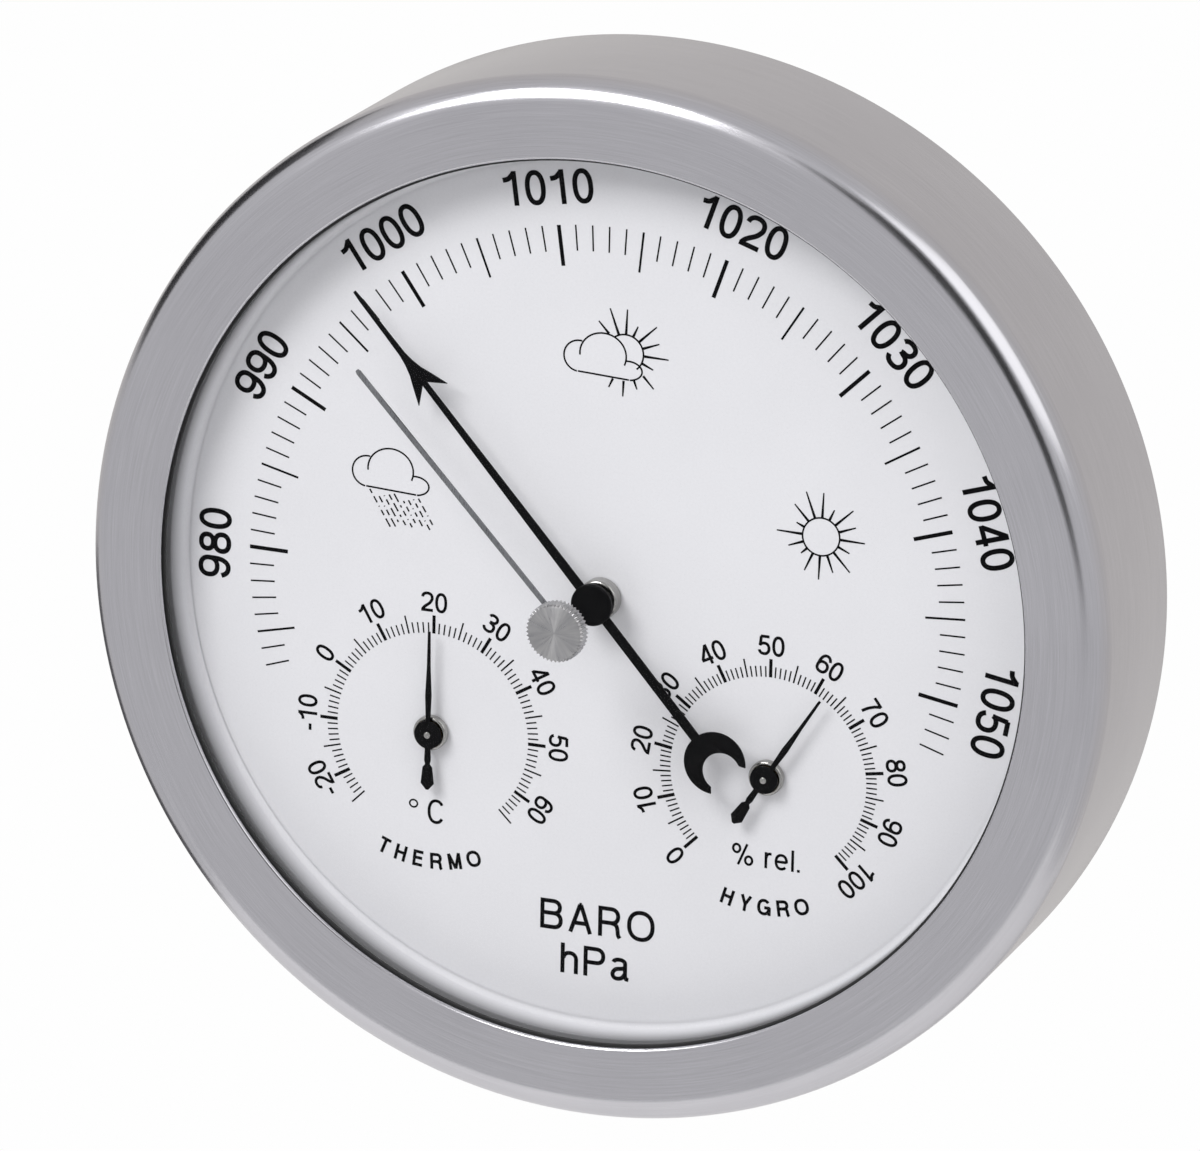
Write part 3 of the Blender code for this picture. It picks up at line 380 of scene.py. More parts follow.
# Brass turned from rod, tool rings drawn at 0.2 mm.
TURNED_BRASS = Finish("turned_brass", "96743B", "CFAD66", 0.2, 0.34, Pattern.ROUND, pitch=0.2,
                      run=25.0, depth=0.004, metallic=1.0, mottle=6.0)
# Beryllium bronze of the pressed capsule, nickel flashed: warm grey, spun lines.
CAPSULE_BRONZE = Finish("pressed_capsule_bronze", "A39A88", "CFC8B8", 0.22, 0.36,
                        Pattern.ROUND, pitch=0.3, run=20.0, depth=0.005, metallic=1.0)
# Thermometer strip, rolled steel and brass: dull yellow-grey with heat tint.
BIMETAL_STRIP = Finish("rolled_bimetal", "84724E", "AD9F80", 0.3, 0.45, Pattern.UPRIGHT,
                       pitch=0.2, run=8.0, depth=0.004, metallic=1.0, mottle=3.0,
                       mottle_share=0.6)
# Hygrometer strip, copper foil with a treated film: pinkish and dull.
FILM_STRIP = Finish("film_on_copper_foil", "9A6A55", "C69A82", 0.38, 0.55, pitch=0.3,
                    depth=0.004, metallic=0.6, mottle=3.0, mottle_share=0.6)
# Painted board of the floor, pale and matt.
PALE_FLOOR = Finish("pale_painted_floor", "F1F1F1", "F8F8F8", 0.7, 0.9, pitch=3.0, depth=0.02,
                    mottle=200.0)


# ------------------------------------------------------------------ mesh tools

def rounded(points: list[tuple[float, float, float]], steps: int = 5) -> Profile:
    """Round the corners of a closed outline.

    Args:
        points: (across, along, corner radius) of each corner, in millimetres.
        steps: facets of each rounded corner.

    Returns:
        The outline's points, in millimetres.
    """
    out: Profile = []
    for i, (x, y, radius) in enumerate(points):
        here = Vector((x, y))
        if radius <= 0:
            out.append((x, y))
            continue
        before = (Vector(points[i - 1][:2]) - here).normalized()
        after = (Vector(points[(i + 1) % len(points)][:2]) - here).normalized()
        half = before.angle(after) / 2
        reach = radius / math.tan(half)
        centre = here + (before + after).normalized() * (radius / math.sin(half))
        start = here + before * reach - centre
        end = here + after * reach - centre
        swing = start.angle_signed(end)
        for k in range(steps + 1):
            swung = Matrix.Rotation(-swing * k / steps, 2) @ start
            out.append(tuple(centre + swung))
    return out


def arc(radius: float, start: float, end: float, steps: int, x: float = 0.0,
        z: float = 0.0) -> Profile:
    """Points of an arc from start to end, in degrees, both ends included."""
    angles = [math.radians(start + (end - start) * i / steps) for i in range(steps + 1)]
    return [(x + radius * math.cos(a), z + radius * math.sin(a)) for a in angles]


def mirrored(points: Profile) -> Profile:
    """The same points on the other side of the upright line, in the order that goes back."""
    return [(-x, z) for x, z in reversed(points)]


def turned(profile: Profile, segments: int = 96, x: float = 0.0, z: float = 0.0,
           ridges: int = 0, ridge: float = 0.0, ridge_from: float = math.inf) -> bmesh.types.BMesh:
    """Turn a closed outline about an axis along Y.

    Args:
        profile: (radius, y) points in millimetres; radius 0 is a point on the axis.
        segments: facets round the axis.
        x: where the axis is, in millimetres.
        z: where the axis is, in millimetres.
        ridges: number of knurled ridges round it.
        ridge: their depth in millimetres.
        ridge_from: only points at this radius or more are knurled.

    Returns:
        The closed mesh, in metres.
    """
    bm = bmesh.new()
    rings = []
    for radius, y in profile:
        if radius < 1e-6:
            rings.append([bm.verts.new((x * MM, y * MM, z * MM))])
            continue
        ring = []
        for i in range(segments):
            angle = 2 * math.pi * i / segments
            wide = radius
            if radius >= ridge_from:
                wide -= ridge * abs(math.sin(angle * ridges / 2))
            ring.append(bm.verts.new(((x + wide * math.cos(angle)) * MM, y * MM,
                                      (z + wide * math.sin(angle)) * MM)))
        rings.append(ring)
    closing = len(rings[0]) > 1 or len(rings[-1]) > 1
    pairs = list(zip(rings, rings[1:])) + ([(rings[-1], rings[0])] if closing else [])
    for low, high in pairs:
        for i in range(segments):
            j = (i + 1) % segments
            corners = [low[i % len(low)], low[j % len(low)], high[j % len(high)],
                       high[i % len(high)]]
            corners = list(dict.fromkeys(corners))
            if len(corners) > 2:
                bm.faces.new(corners)
    bmesh.ops.recalc_face_normals(bm, faces=bm.faces)
    return bm


def stamped(outline: Profile, start: float, end: float, edge: float = 0.05) -> bmesh.types.BMesh:
    """Stamp an outline out of sheet, with slightly rounded edges.

    Args:
        outline: (x, z) points in millimetres.
        start: y of one face in millimetres.
        end: y of the other face in millimetres.
        edge: rounding of the edges in millimetres.

    Returns:
        The closed mesh, in metres.
    """
    bm = bmesh.new()
    verts = [bm.verts.new((x * MM, start * MM, z * MM)) for x, z in outline]
    face = bm.faces.new(verts)
    swept = bmesh.ops.extrude_face_region(bm, geom=[face])
    moved = [v for v in swept["geom"] if isinstance(v, bmesh.types.BMVert)]
    bmesh.ops.translate(bm, verts=moved, vec=(0, (end - start) * MM, 0))
    bmesh.ops.recalc_face_normals(bm, faces=bm.faces)
    rim = [e for e in bm.edges if abs(e.verts[0].co.y - e.verts[1].co.y) < 1e-9]
    bmesh.ops.bevel(bm, geom=rim, offset=edge * MM, segments=2, profile=0.5, affect="EDGES",
                    clamp_overlap=True)
    return bm


def rotated(bm: bmesh.types.BMesh, degrees: float, x: float = 0.0,
            z: float = 0.0) -> bmesh.types.BMesh:
    """Turn a mesh clockwise as read about the dial's axis, then move it across the dial.

    Args:
        bm: the mesh, changed in place.
        degrees: how far it turns.
        x: how far it moves along X, in millimetres.
        z: how far it moves along Z, in millimetres.

    Returns:
        The same mesh.
    """
    spin = Matrix.Rotation(math.radians(degrees), 4, "Y")
    bm.transform(Matrix.Translation((x * MM, 0, z * MM)) @ spin)
    return bm


def place(name: str, bm: bmesh.types.BMesh, finish: Finish | ClearSheet, body: str,
          nodes: tuple[str, ...] = (), crease: float = 35.0) -> bpy.types.Object:
    """Make an object of a mesh, dress it and let it ride.

    Args:
        name: the piece's name.
        bm: its mesh, used up here.
        finish: what it is made of.
        body: the CAD body that it moves with.
        nodes: the CAD nodes that it stands for.
        crease: edges sharper than this many degrees stay sharp.

    Returns:
        The new object.
    """
    mesh = bpy.data.meshes.new(name)
    bm.to_mesh(mesh)
    bm.free()
    mesh.shade_smooth()
    mesh.set_sharp_from_angle(angle=math.radians(crease))
    piece = bpy.data.objects.new(name, mesh)
    bpy.context.scene.collection.objects.link(piece)
    mesh.materials.append(finish.material())
    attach(piece, body)
    if nodes:
        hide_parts(*nodes)
    LOG.info("%s: %d faces, rides on %s", name, len(mesh.polygons), body)
    return piece


def front_of(node: str) -> float:
    """The y of a CAD node's front, in millimetres."""
    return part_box(node)[0].y / MM


def back_of(node: str) -> float:
    """The y of a CAD node's back, in millimetres."""
    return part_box(node)[1].y / MM


# ------------------------------------------------------------------ case and window

@dataclass
class Case:
    """Spun steel case with its gasket, window and white inner ring. Millimetres."""

    radius: float = 100.0
    sheet: float = 1.0
    edge_round: float = 5.3
    opening: float = 85.0
    lip_round: float = 0.6
    window_reach: float = 84.5
    window_sheet: float = 1.6
    flange: float = 6.0
    shaft_hole: float = 1.7
    ring_foot: float = 84.0
    cove: float = 1.1
    segments: int = 288

    def build(self) -> None:
        """Make every piece of the case."""
        self.build_shell()
        self.build_gasket()
        self.build_window()
        self.build_inner_ring()

    def build_shell(self) -> None:
        """Rear rim, wall, rounded edge, flat ring and turned-back lip."""
        front, rim = front_of("case_shell"), back_of("case_shell")
        inside = self.radius - self.sheet
        profile = rounded([(self.radius, rim, 0.35), (self.radius, front, self.edge_round),
                           (self.opening, front, self.lip_round),
                           (self.opening, front + self.sheet, 0.15),
                           (inside, front + self.sheet, self.edge_round - self.sheet),
                           (inside, rim, 0.35)], 10)
        place("steel_case", turned(profile, self.segments), BRUSHED_STEEL, "case",
              ("case_shell",))

    def build_gasket(self) -> None:
        """Thin rubber ring that shows as a dark line inside the steel lip."""
        lo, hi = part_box("window_gasket")
        seat = hi.x / MM
        profile = rounded([(self.window_reach, lo.y / MM, 0.2), (seat, lo.y / MM, 0.1),
                           (seat, hi.y / MM, 0.1), (self.window_reach, hi.y / MM, 0.2)], 3)
        place("rubber_gasket", turned(profile, self.segments), GASKET_RUBBER, "case",
              ("window_gasket",))

    def build_window(self) -> None:
        """Domed window with a flat flange and a hole for the set hand's shaft."""
        crown, back = front_of("window"), back_of("window")
        front = back - self.window_sheet
        rise = front - crown
        sphere = (self.window_reach ** 2 + rise ** 2) / (2 * rise)
        centre = crown + sphere
        outer, inner = [], []
        steps = 28
        for i in range(steps + 1):
            r = self.shaft_hole + (self.window_reach - self.shaft_hole) * i / steps
            outer.append((r, centre - math.sqrt(sphere ** 2 - r ** 2)))
            inside = sphere - self.window_sheet
            inner.append((r, centre - math.sqrt(inside ** 2 - r ** 2)))
        rim = self.window_reach + self.flange
        flange = [(rim - 0.2, front), (rim, front + 0.2), (rim, inner[-1][1])]
        place("domed_window", turned(outer + flange + inner[::-1], 192), ClearSheet(), "case",
              ("window",))

    def build_inner_ring(self) -> None:
        """White ring from the window down to the dial."""
        lo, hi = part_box("inner_ring")
        top, foot, wide = lo.y / MM, hi.y / MM, hi.x / MM
        profile = rounded([(self.window_reach, top, 0.3), (wide, top, 0.2), (wide, foot, 0.0),
                           (self.ring_foot - self.cove, foot, 0.0),
                           (self.ring_foot, foot - 0.05, self.cove)], 10)
        place("white_inner_ring", turned(profile, self.segments), WHITE_ABS, "case",
              ("inner_ring",))


# ------------------------------------------------------------------ print on the dial

Stroke = list[Pair]


def oval(x: float, y: float, rx: float, ry: float, start: float, end: float,
         square: float = 2.25) -> Stroke:
    """Part of a slightly squared oval.

    Args:
        x: its centre.
        y: its centre.
        rx: half its width.
        ry: half its height.
        start: where it starts, in degrees.
        end: where it ends, in degrees.
        square: 2 gives an ellipse, and more gives fuller corners.

    Returns:
        Its points.
    """
    out = []
    steps = max(6, int(abs(end - start) / 9))
    for i in range(steps + 1):
        a = math.radians(start + (end - start) * i / steps)
        c, s = math.cos(a), math.sin(a)
        out.append((x + rx * math.copysign(abs(c) ** (2 / square), c),
                    y + ry * math.copysign(abs(s) ** (2 / square), s)))
    return out


def smooth(points: Stroke, steps: int = 5) -> Stroke:
    """Run a soft curve through points.

    Args:
        points: the points to pass through.
        steps: points drawn from each one to the next.

    Returns:
        The curve's points.
    """
    ends = [points[0], *points, points[-1]]
    out = []
    for a, b, c, d in zip(ends, ends[1:], ends[2:], ends[3:]):
        for i in range(steps):
            t = i / steps
            out.append(tuple(0.5 * (2 * q + (r - p) * t + (2 * p - 5 * q + 4 * r - s) * t ** 2
                                    + (3 * q - p - 3 * r + s) * t ** 3)
                             for p, q, r, s in zip(a, b, c, d)))
    return out + [points[-1]]


@dataclass(frozen=True)
class Letters:
    """Plain sans-serif letters and figures drawn with one stroke weight.

    Letters stand on y 0 with capitals 1 high, and the weight is the stroke's width.
    """

    weight: float = 0.12

    def glyph(self, mark: str) -> tuple[float, list[Stroke]]:
        """Draw one character.

        Args:
            mark: the character.

        Returns:
            Its width, and the centre lines of its strokes.
        """
        h = self.weight / 2
        t, mid = 1 - h, 0.53
        if mark in "0O":
            w = 0.62 if mark == "0" else 0.92
            return w, [oval(w / 2, 0.5, w / 2 - h, 0.51 - h, 0, 360)]
        if mark == "1":
            return 0.62, [[(0.415, 0), (0.415, 1)],
                          smooth([(0.07, 0.745), (0.23, 0.775), (0.33, 0.86), (0.395, t)])]
        if mark == "2":
            curve = oval(0.31, 0.7, 0.25, 0.3 - h, 175, -25)
            tail = smooth([curve[-1], (0.42, 0.43), (0.2, 0.26), (0.1, 0.15), (0.07, h)])
            return 0.62, [curve + tail[1:], [(0.0, h), (0.6, h)]]
        if mark == "3":
            return 0.62, [oval(0.3, 0.745, 0.225, 0.255 - h, 165, -88) + [(0.22, mid)],
                          [(0.22, mid)] + oval(0.3, 0.285, 0.255, 0.295 - h, 88, -165)]
        if mark == "4":
            return 0.62, [[(0.455, 0), (0.455, 1)], [(0.0, 0.275), (0.6, 0.275)],
                          [(0.05, 0.29), (0.43, 0.96)]]
        if mark == "5":
            return 0.62, [[(0.13, t), (0.56, t)], [(0.15, t), (0.1, 0.46)],
                          oval(0.3, 0.33, 0.25, 0.335 - h, 150, -165)]
        if mark in "69":
            bowl = oval(0.32, 0.325, 0.255, 0.33 - h, 0, 360)
            back = [(0.066, 0.34)] + oval(0.33, 0.5, 0.264, 0.505 - h, 180, 28)
            if mark == "6":
                return 0.62, [bowl, back]
            return 0.62, [[(0.62 - x, 1 - y) for x, y in s] for s in (bowl, back)]
        if mark == "7":
            return 0.62, [[(0.02, t), (0.59, t)],
                          smooth([(0.56, t), (0.4, 0.68), (0.28, 0.35), (0.225, 0)])]
        if mark == "8":
            return 0.62, [oval(0.31, 0.745, 0.215, 0.26 - h, 0, 360),
                          oval(0.31, 0.285, 0.25, 0.29 - h, 0, 360)]
        if mark == "-":
            return 0.36, [[(0.02, 0.37), (0.34, 0.37)]]
        if mark == "%":
            return 1.02, [oval(0.22, 0.76, 0.165, 0.19, 0, 360, 2.0),
                          oval(0.8, 0.24, 0.165, 0.19, 0, 360, 2.0), [(0.3, 0), (0.72, 1)]]
        return self.letter(mark)

    def letter(self, mark: str) -> tuple[float, list[Stroke]]:
        """Draw one letter or full stop.

        Args:
            mark: the character; anything unknown is a space.

        Returns:
            Its width, and the centre lines of its strokes.
        """
        h = self.weight / 2
        t, mid = 1 - h, 0.53
        stem = [(h, 0), (h, 1)]
        if mark == "A":
            return 0.8, [[(h, 0), (0.385, t)], [(0.8 - h, 0), (0.415, t)],
                         [(0.15, 0.32), (0.65, 0.32)], [(0.36, t), (0.44, t)]]
        if mark == "B":
            top = [(h, t), (0.42, t)] + oval(0.43, (t + mid) / 2, 0.225, (t - mid) / 2, 88, -88)
            low = [(h, mid), (0.44, mid)] + oval(0.45, (h + mid) / 2, 0.24, (mid - h) / 2, 88,
                                                  -88)
            return 0.75, [stem, top + [(h, mid)], low + [(h, h)]]
        if mark in "PR":
            low = 0.47
            bowl = [(h, t), (0.42, t)] + oval(0.43, (t + low) / 2, 0.235, (t - low) / 2, 88, -88)
            leg = smooth([(0.44, low), (0.6, 0.41), (0.65, 0.26), (0.67, 0.1), (0.73, 0)])
            return (0.72, [stem, bowl + [(h, low)]]) if mark == "P" else (
                0.77, [stem, bowl + [(h, low)], leg])
        if mark == "C":
            return 0.74, [oval(0.375, 0.5, 0.315, 0.51 - h, 36, 324)]
        if mark == "G":
            return 0.8, [oval(0.39, 0.5, 0.33, 0.51 - h, 38, 350) + [(0.72, 0.45)],
                         [(0.42, 0.47), (0.78, 0.47)], [(0.74, 0.0), (0.74, 0.5)]]
        if mark == "H":
            return 0.72, [stem, [(0.72 - h, 0), (0.72 - h, 1)], [(h, mid), (0.72 - h, mid)]]
        if mark == "M":
            return 0.84, [stem, [(0.84 - h, 0), (0.84 - h, 1)], [(h, 1), (0.42, 0.06)],
                          [(0.84 - h, 1), (0.42, 0.06)]]
        if mark == "T":
            return 0.66, [[(0, t), (0.66, t)], [(0.33, 0), (0.33, 1)]]
        if mark == "E":
            return 0.64, [stem, [(h, t), (0.64, t)], [(h, mid), (0.6, mid)], [(h, h), (0.64, h)]]
        if mark == "Y":
            return 0.74, [[(h, 1), (0.37, 0.42)], [(0.74 - h, 1), (0.37, 0.42)],
                          [(0.37, 0), (0.37, 0.46)]]
        if mark == "h":
            return 0.58, [stem, oval(0.31, 0.46, 0.25 - h / 2, 0.29 - h, 172, 0)
                          + [(0.56 - h / 2, 0)]]
        if mark == "a":
            hood = oval(0.29, 0.56, 0.2, 0.2 - h, 168, 0)
            bowl = smooth([(0.49, 0.42), (0.34, 0.395), (0.17, 0.355), (0.07, 0.22),
                           (0.11, 0.09), (0.23, 0.05), (0.38, 0.09), (0.49, 0.23)])
            return 0.62, [hood + [(0.49, 0.15), (0.53, 0.065), (0.61, 0.055)], bowl]
        if mark == "r":
            return 0.32, [[(h, 0), (h, 0.75)],
                          smooth([(h, 0.45), (0.11, 0.61), (0.2, 0.68), (0.32, 0.69)])]
        if mark == "e":
            return 0.62, [oval(0.31, 0.375, 0.25, 0.385 - h, -2, 318),
                          [(0.07, 0.38), (0.56, 0.38)]]
        if mark == "l":
            return self.weight, [stem]
        if mark == ".":
            return self.weight, [[(h, 0), (h, self.weight)]]
        return 0.3, []


@dataclass
class Print:
    """Black print on the dial: a mesh of thin raised strokes. Millimetres.

    Each stroke is one layer thicker than the last, over a few layers, so that crossing
    strokes don't share a face. The mitre is how far a bend may widen a stroke.
    """

    name: str
    face: float
    thickness: float = 0.04
    layer: float = 0.0006
    layers: int = 12
    mitre: float = 1.6
    strokes: int = 0

    def __post_init__(self) -> None:
        """Start an empty mesh."""
        self.bm = bmesh.new()

    def stroke(self, line: Stroke, width: float, end_width: float | None = None) -> None:
        """Lay one stroke of ink with square ends.

        Args:
            line: centre line, (x, z) on the dial.
            width: its width at the start.
            end_width: its width at the end, if it tapers.
        """
        closed = math.dist(line[0], line[-1]) < 1e-4 and len(line) > 3
        pts = [Vector(p) for p in (line[:-1] if closed else line)]
        pts = [p for i, p in enumerate(pts) if i == 0 or (p - pts[i - 1]).length > 1e-5]
        count = len(pts)
        last = width if end_width is None else end_width
        rise = self.thickness + self.layer * (self.strokes % self.layers)
        self.strokes += 1
        rings = []
        for i, p in enumerate(pts):
            before = pts[i - 1] if i or closed else p
            after = pts[(i + 1) % count] if i < count - 1 or closed else p
            inward, outward = p - before, after - p
            a = inward.normalized() if inward.length > 1e-9 else outward.normalized()
            b = outward.normalized() if outward.length > 1e-9 else a
            side = (a + b).normalized().orthogonal()
            stretch = min(self.mitre, 1 / max(0.3, side.dot(a.orthogonal())))
            half = (width + (last - width) * i / max(1, count - 1)) / 2 * stretch
            corners = [p + side * half, p - side * half]
            rings.append([self.bm.verts.new((c.x * MM, (self.face - y) * MM, c.y * MM))
                          for c, y in ((corners[0], 0.0), (corners[1], 0.0),
                                       (corners[1], rise), (corners[0], rise))])
        ahead = rings[1:] + ([rings[0]] if closed else [])
        for low, high in zip(rings, ahead):
            for k in range(4):
                n = (k + 1) % 4
                self.bm.faces.new((low[k], low[n], high[n], high[k]))
        if not closed:
            self.bm.faces.new(rings[0][::-1])
            self.bm.faces.new(rings[-1])

    def tick(self, centre: Pair, angle: float, inner: float, outer: float,
             width: float) -> None:
        """Print one scale mark.

        Args:
            centre: the scale's centre.
            angle: the mark's direction, in degrees from +X.
            inner: radius where it starts.
            outer: radius where it ends.
            width: its width.
        """
        a = math.radians(angle)
        ends = [(centre[0] + r * math.cos(a), centre[1] + r * math.sin(a))
                for r in (inner, outer)]
        self.stroke(ends, width)

    def text(self, words: str, letters: Letters, height: float, base: Pair, up: float,
             pitch: float = 0.0, gap: float = 0.1, narrow: float = 1.0) -> None:
        """Set a line of characters, centred on base.

        Args:
            words: the characters.
            letters: the alphabet to use.
            height: capital height.
            base: middle of the baseline.
            up: direction of the letters' tops, in degrees.
            pitch: distance from letter to letter, or 0 to set by width.
            gap: space between letters set by width, as a share of the height.
            narrow: widths are multiplied by this.
        """
        a = math.radians(up)
        rise, run = Vector((math.cos(a), math.sin(a))), Vector((math.sin(a), -math.cos(a)))
        drawn = [letters.glyph(mark) for mark in words]
        widths = [pitch or (w * narrow + gap) * height for w, _ in drawn]
        x = -sum(widths) / 2
        for (wide, lines), advance in zip(drawn, widths):
            left = x + (advance - wide * narrow * height) / 2
            for line in lines:
                moved = [tuple(Vector(base) + run * (left + u * narrow * height)
                               + rise * (v * height)) for u, v in line]
                self.stroke(moved, letters.weight * height)
            x += advance

    def done(self) -> None:
        """Turn the strokes into a piece that rides on the case."""
        bmesh.ops.recalc_face_normals(self.bm, faces=self.bm.faces)
        place(self.name, self.bm, BLACK_INK, "case", crease=30.0)


@dataclass
class Scale:
    """A round scale of marks with figures outside them. Millimetres and degrees.

    inner, outer and widths are for ones, fives and tens. drift is how far each figure is
    printed off its mark, clockwise.
    """

    name: str
    centre: Pair
    low: int
    high: int
    top_value: float
    step: float
    inner: tuple[float, float, float]
    outer: tuple[float, float, float]
    widths: tuple[float, float, float]
    figure_base: float
    figure_height: float
    figure_pitch: float
    figures: range
    drift: tuple[float, ...] = ()
    weight: float = 0.145
    minus_shift: float = 0.12

    def angle(self, value: float) -> float:
        """Direction of a value on the dial, in degrees from +X."""
        return 90 - (value - self.top_value) * self.step

    def build(self, face: float) -> None:
        """Print the marks and the figures.

        Args:
            face: y of the dial's face.
        """
        marks = Print(f"{self.name}_marks", face)
        for value in range(self.low, self.high + 1):
            kind = 2 if value % 10 == 0 else 1 if value % 5 == 0 else 0
            marks.tick(self.centre, self.angle(value), self.inner[kind], self.outer[kind],
                       self.widths[kind])
        marks.done()
        figures = Print(f"{self.name}_figures", face)
        letters = Letters(self.weight)
        for i, value in enumerate(self.figures):
            a = math.radians(self.angle(value))
            slip = self.drift[i] if self.drift else 0.0
            base = (self.centre[0] + self.figure_base * math.cos(a) + slip * math.sin(a),
                    self.centre[1] + self.figure_base * math.sin(a) - slip * math.cos(a))
            words = str(value)
            if value < 0:
                shift = Vector((math.sin(a), -math.cos(a))) * self.minus_shift * self.figure_height
                figures.text(words, letters, self.figure_height, tuple(Vector(base) + shift),
                             self.angle(value), gap=0.11)
            else:
                figures.text(words, letters, self.figure_height, base, self.angle(value),
                             pitch=self.figure_pitch)
        figures.done()


@dataclass
class Dial:
    """White dial plate with its scales, words and weather symbols. Millimetres."""

    arc_word_radius: float = 27.15
    arc_word_height: float = 3.15
    sun_radius: float = 3.6
    symbol_line: float = 0.31

    def build(self) -> None:
        """Dress the dial plate and print everything on it."""
        face = front_of("dial_plate")
        dress("dial_plate", DIAL_LACQUER)
        Scale("pressure", (0.0, 0.0), 973, 1053, 1013, 2.7, (65.8, 63.0, 63.0),
              (70.67, 70.67, 70.67), (0.29, 0.4, 0.74), 74.55, 6.5, 4.68,
              range(980, 1051, 10), (-0.2, 0.4, 0.0, -1.4, 0.5, -0.8, -0.5, -1.1)).build(face)
        Scale("thermometer", (-SUB_X, SUB_Z), -25, 65, 20, 3.0, (19.2, 19.2, 19.2),
              (21.25, 22.7, 22.7), (0.26, 0.3, 0.62), 23.35, 3.85, 2.78,
              range(-20, 61, 10)).build(face)
        Scale("hygrometer", (SUB_X, SUB_Z), 0, 100, 50, 2.7, (19.2, 19.2, 19.2),
              (21.25, 22.7, 22.7), (0.26, 0.3, 0.62), 23.35, 3.85, 2.75,
              range(0, 101, 10)).build(face)
        self.build_words(face)
        self.build_symbols(face)

    def build_words(self, face: float) -> None:
        """Print the names of the three instruments and their units.

        Args:
            face: y of the dial's face.
        """
        words = Print("dial_words", face)
        plain, bold = Letters(0.135), Letters(0.185)
        words.text("BARO", plain, 5.95, (0.35, -66.25), 90, gap=0.2)
        words.text("hPa", plain, 5.9, (0.0, -74.55), 90, gap=0.2)
        words.stroke(oval(-36.95, -45.2, 0.78, 0.72, 0, 360, 2.0), 0.32)
        words.text("C", Letters(0.12), 4.75, (-32.4, -48.65), 90, narrow=0.95)
        words.text("%", Letters(0.11), 4.15, (28.8, -48.4), 90)
        words.text("rel.", Letters(0.125), 4.15, (36.6, -48.4), 90, gap=0.16)
        for mark, angle in zip("THERMO", (-111.6, -103.7, -95.8, -87.5, -79.0, -70.2)):
            self.arc_letter(words, bold, mark, -SUB_X, angle)
        for mark, angle in zip("HYGRO", (-106.7, -98.5, -90.2, -81.9, -73.5)):
            self.arc_letter(words, bold, mark, SUB_X, angle)
        words.done()

    def arc_letter(self, words: Print, letters: Letters, mark: str, x: float,
                   angle: float) -> None:
        """Print one letter of a word under a small scale, its top towards the centre.

        Args:
            words: where it is printed.
            letters: the alphabet to use.
            mark: the letter.
            x: the scale's centre.
            angle: the letter's direction from the centre, in degrees from +X.
        """
        a = math.radians(angle)
        base = (x + self.arc_word_radius * math.cos(a),
                SUB_Z + self.arc_word_radius * math.sin(a))
        words.text(mark, letters, self.arc_word_height, base, angle + 180, narrow=0.98)

    def build_symbols(self, face: float) -> None:
        """Print rain, change and fair weather in thin line.

        Args:
            face: y of the dial's face.
        """
        symbols = Print("weather_symbols", face)
        self.cloud(symbols, -42.4, 19.2)
        self.rain(symbols, -42.4, 19.2)
        self.cloud(symbols, -0.75, 46.2)
        hidden = {6: 5.3, 7: 5.2, 8: 5.2, 9: 5.5, 10: None, 11: None, 12: None, 13: None, 14: 4.7}
        self.sun(symbols, 3.5, 47.1, 127, -50, hidden)
        self.sun(symbols, 42.4, 16.8, 360, 0, {})
        symbols.done()

    def cloud(self, ink: Print, x: float, z: float) -> None:
        """Print a cloud of three bumps on a gently sloping base.

        Args:
            ink: where it is printed.
            x: its centre.
            z: its centre.
        """
        line = self.symbol_line
        for stroke in (oval(x - 0.05, z + 0.15, 4.55, 4.15, 186, -22, 2.0),
                       oval(x - 4.7, z - 0.55, 3.0, 2.95, 80, 262, 2.0),
                       [(x - 4.9, z - 3.45), (x + 5.1, z - 4.05)],
                       oval(x + 4.9, z - 2.3, 2.75, 1.8, 100, -82, 2.0)):
            ink.stroke(stroke, line)

    def rain(self, ink: Print, x: float, z: float) -> None:
        """Print slanting rows of dashes and drops under a cloud.

        Args:
            ink: where they are printed.
            x: the cloud's centre.
            z: the cloud's centre.
        """
        fall = Vector((0.5, -0.82))
        dashes = (0.9, 1.35, 0.16, 1.15, 1.8, 0.5, 1.05, 0.16)
        for column in range(9):
            top = Vector((x - 4.3 + 1.22 * column, z - 3.75 - 0.09 * column))
            along = 0.25 + 0.45 * ((column * 3) % 4)
            count = column
            while along < 7.6 - 0.12 * column:
                dash = dashes[count % len(dashes)]
                start = top + fall * along
                ink.stroke([tuple(start), tuple(start + fall * dash)], 0.3)
                along += dash + 0.75
                count += 1

    def sun(self, ink: Print, x: float, z: float, start: float, end: float,
            hidden: dict[int, float | None]) -> None:
        """Print a sun with tapering rays of uneven length.

        Args:
            ink: where it is printed.
            x: its centre.
            z: its centre.
            start: where its round outline starts, in degrees.
            end: where its outline ends.
            hidden: for rays behind a cloud, where they come out, or None.
        """
        ink.stroke(oval(x, z, self.sun_radius, self.sun_radius, start, end, 2.0),
                   self.symbol_line)
        reaches = (8.4, 5.9, 8.3, 7.1, 8.5, 6.1, 8.4, 7.0, 8.2, 7.4, 5.2, 6.7, 8.6, 5.3, 7.7,
                   8.8)
        for i, reach in enumerate(reaches):
            inner = hidden.get(i, self.sun_radius)
            if inner is None:
                continue
            a = math.radians(88 - 22.5 * i)
            ray = [(x + r * math.cos(a), z + r * math.sin(a)) for r in (inner, reach)]
            ink.stroke(ray, 0.52 - 0.03 * (inner - self.sun_radius), 0.24)


# ------------------------------------------------------------------ small instruments

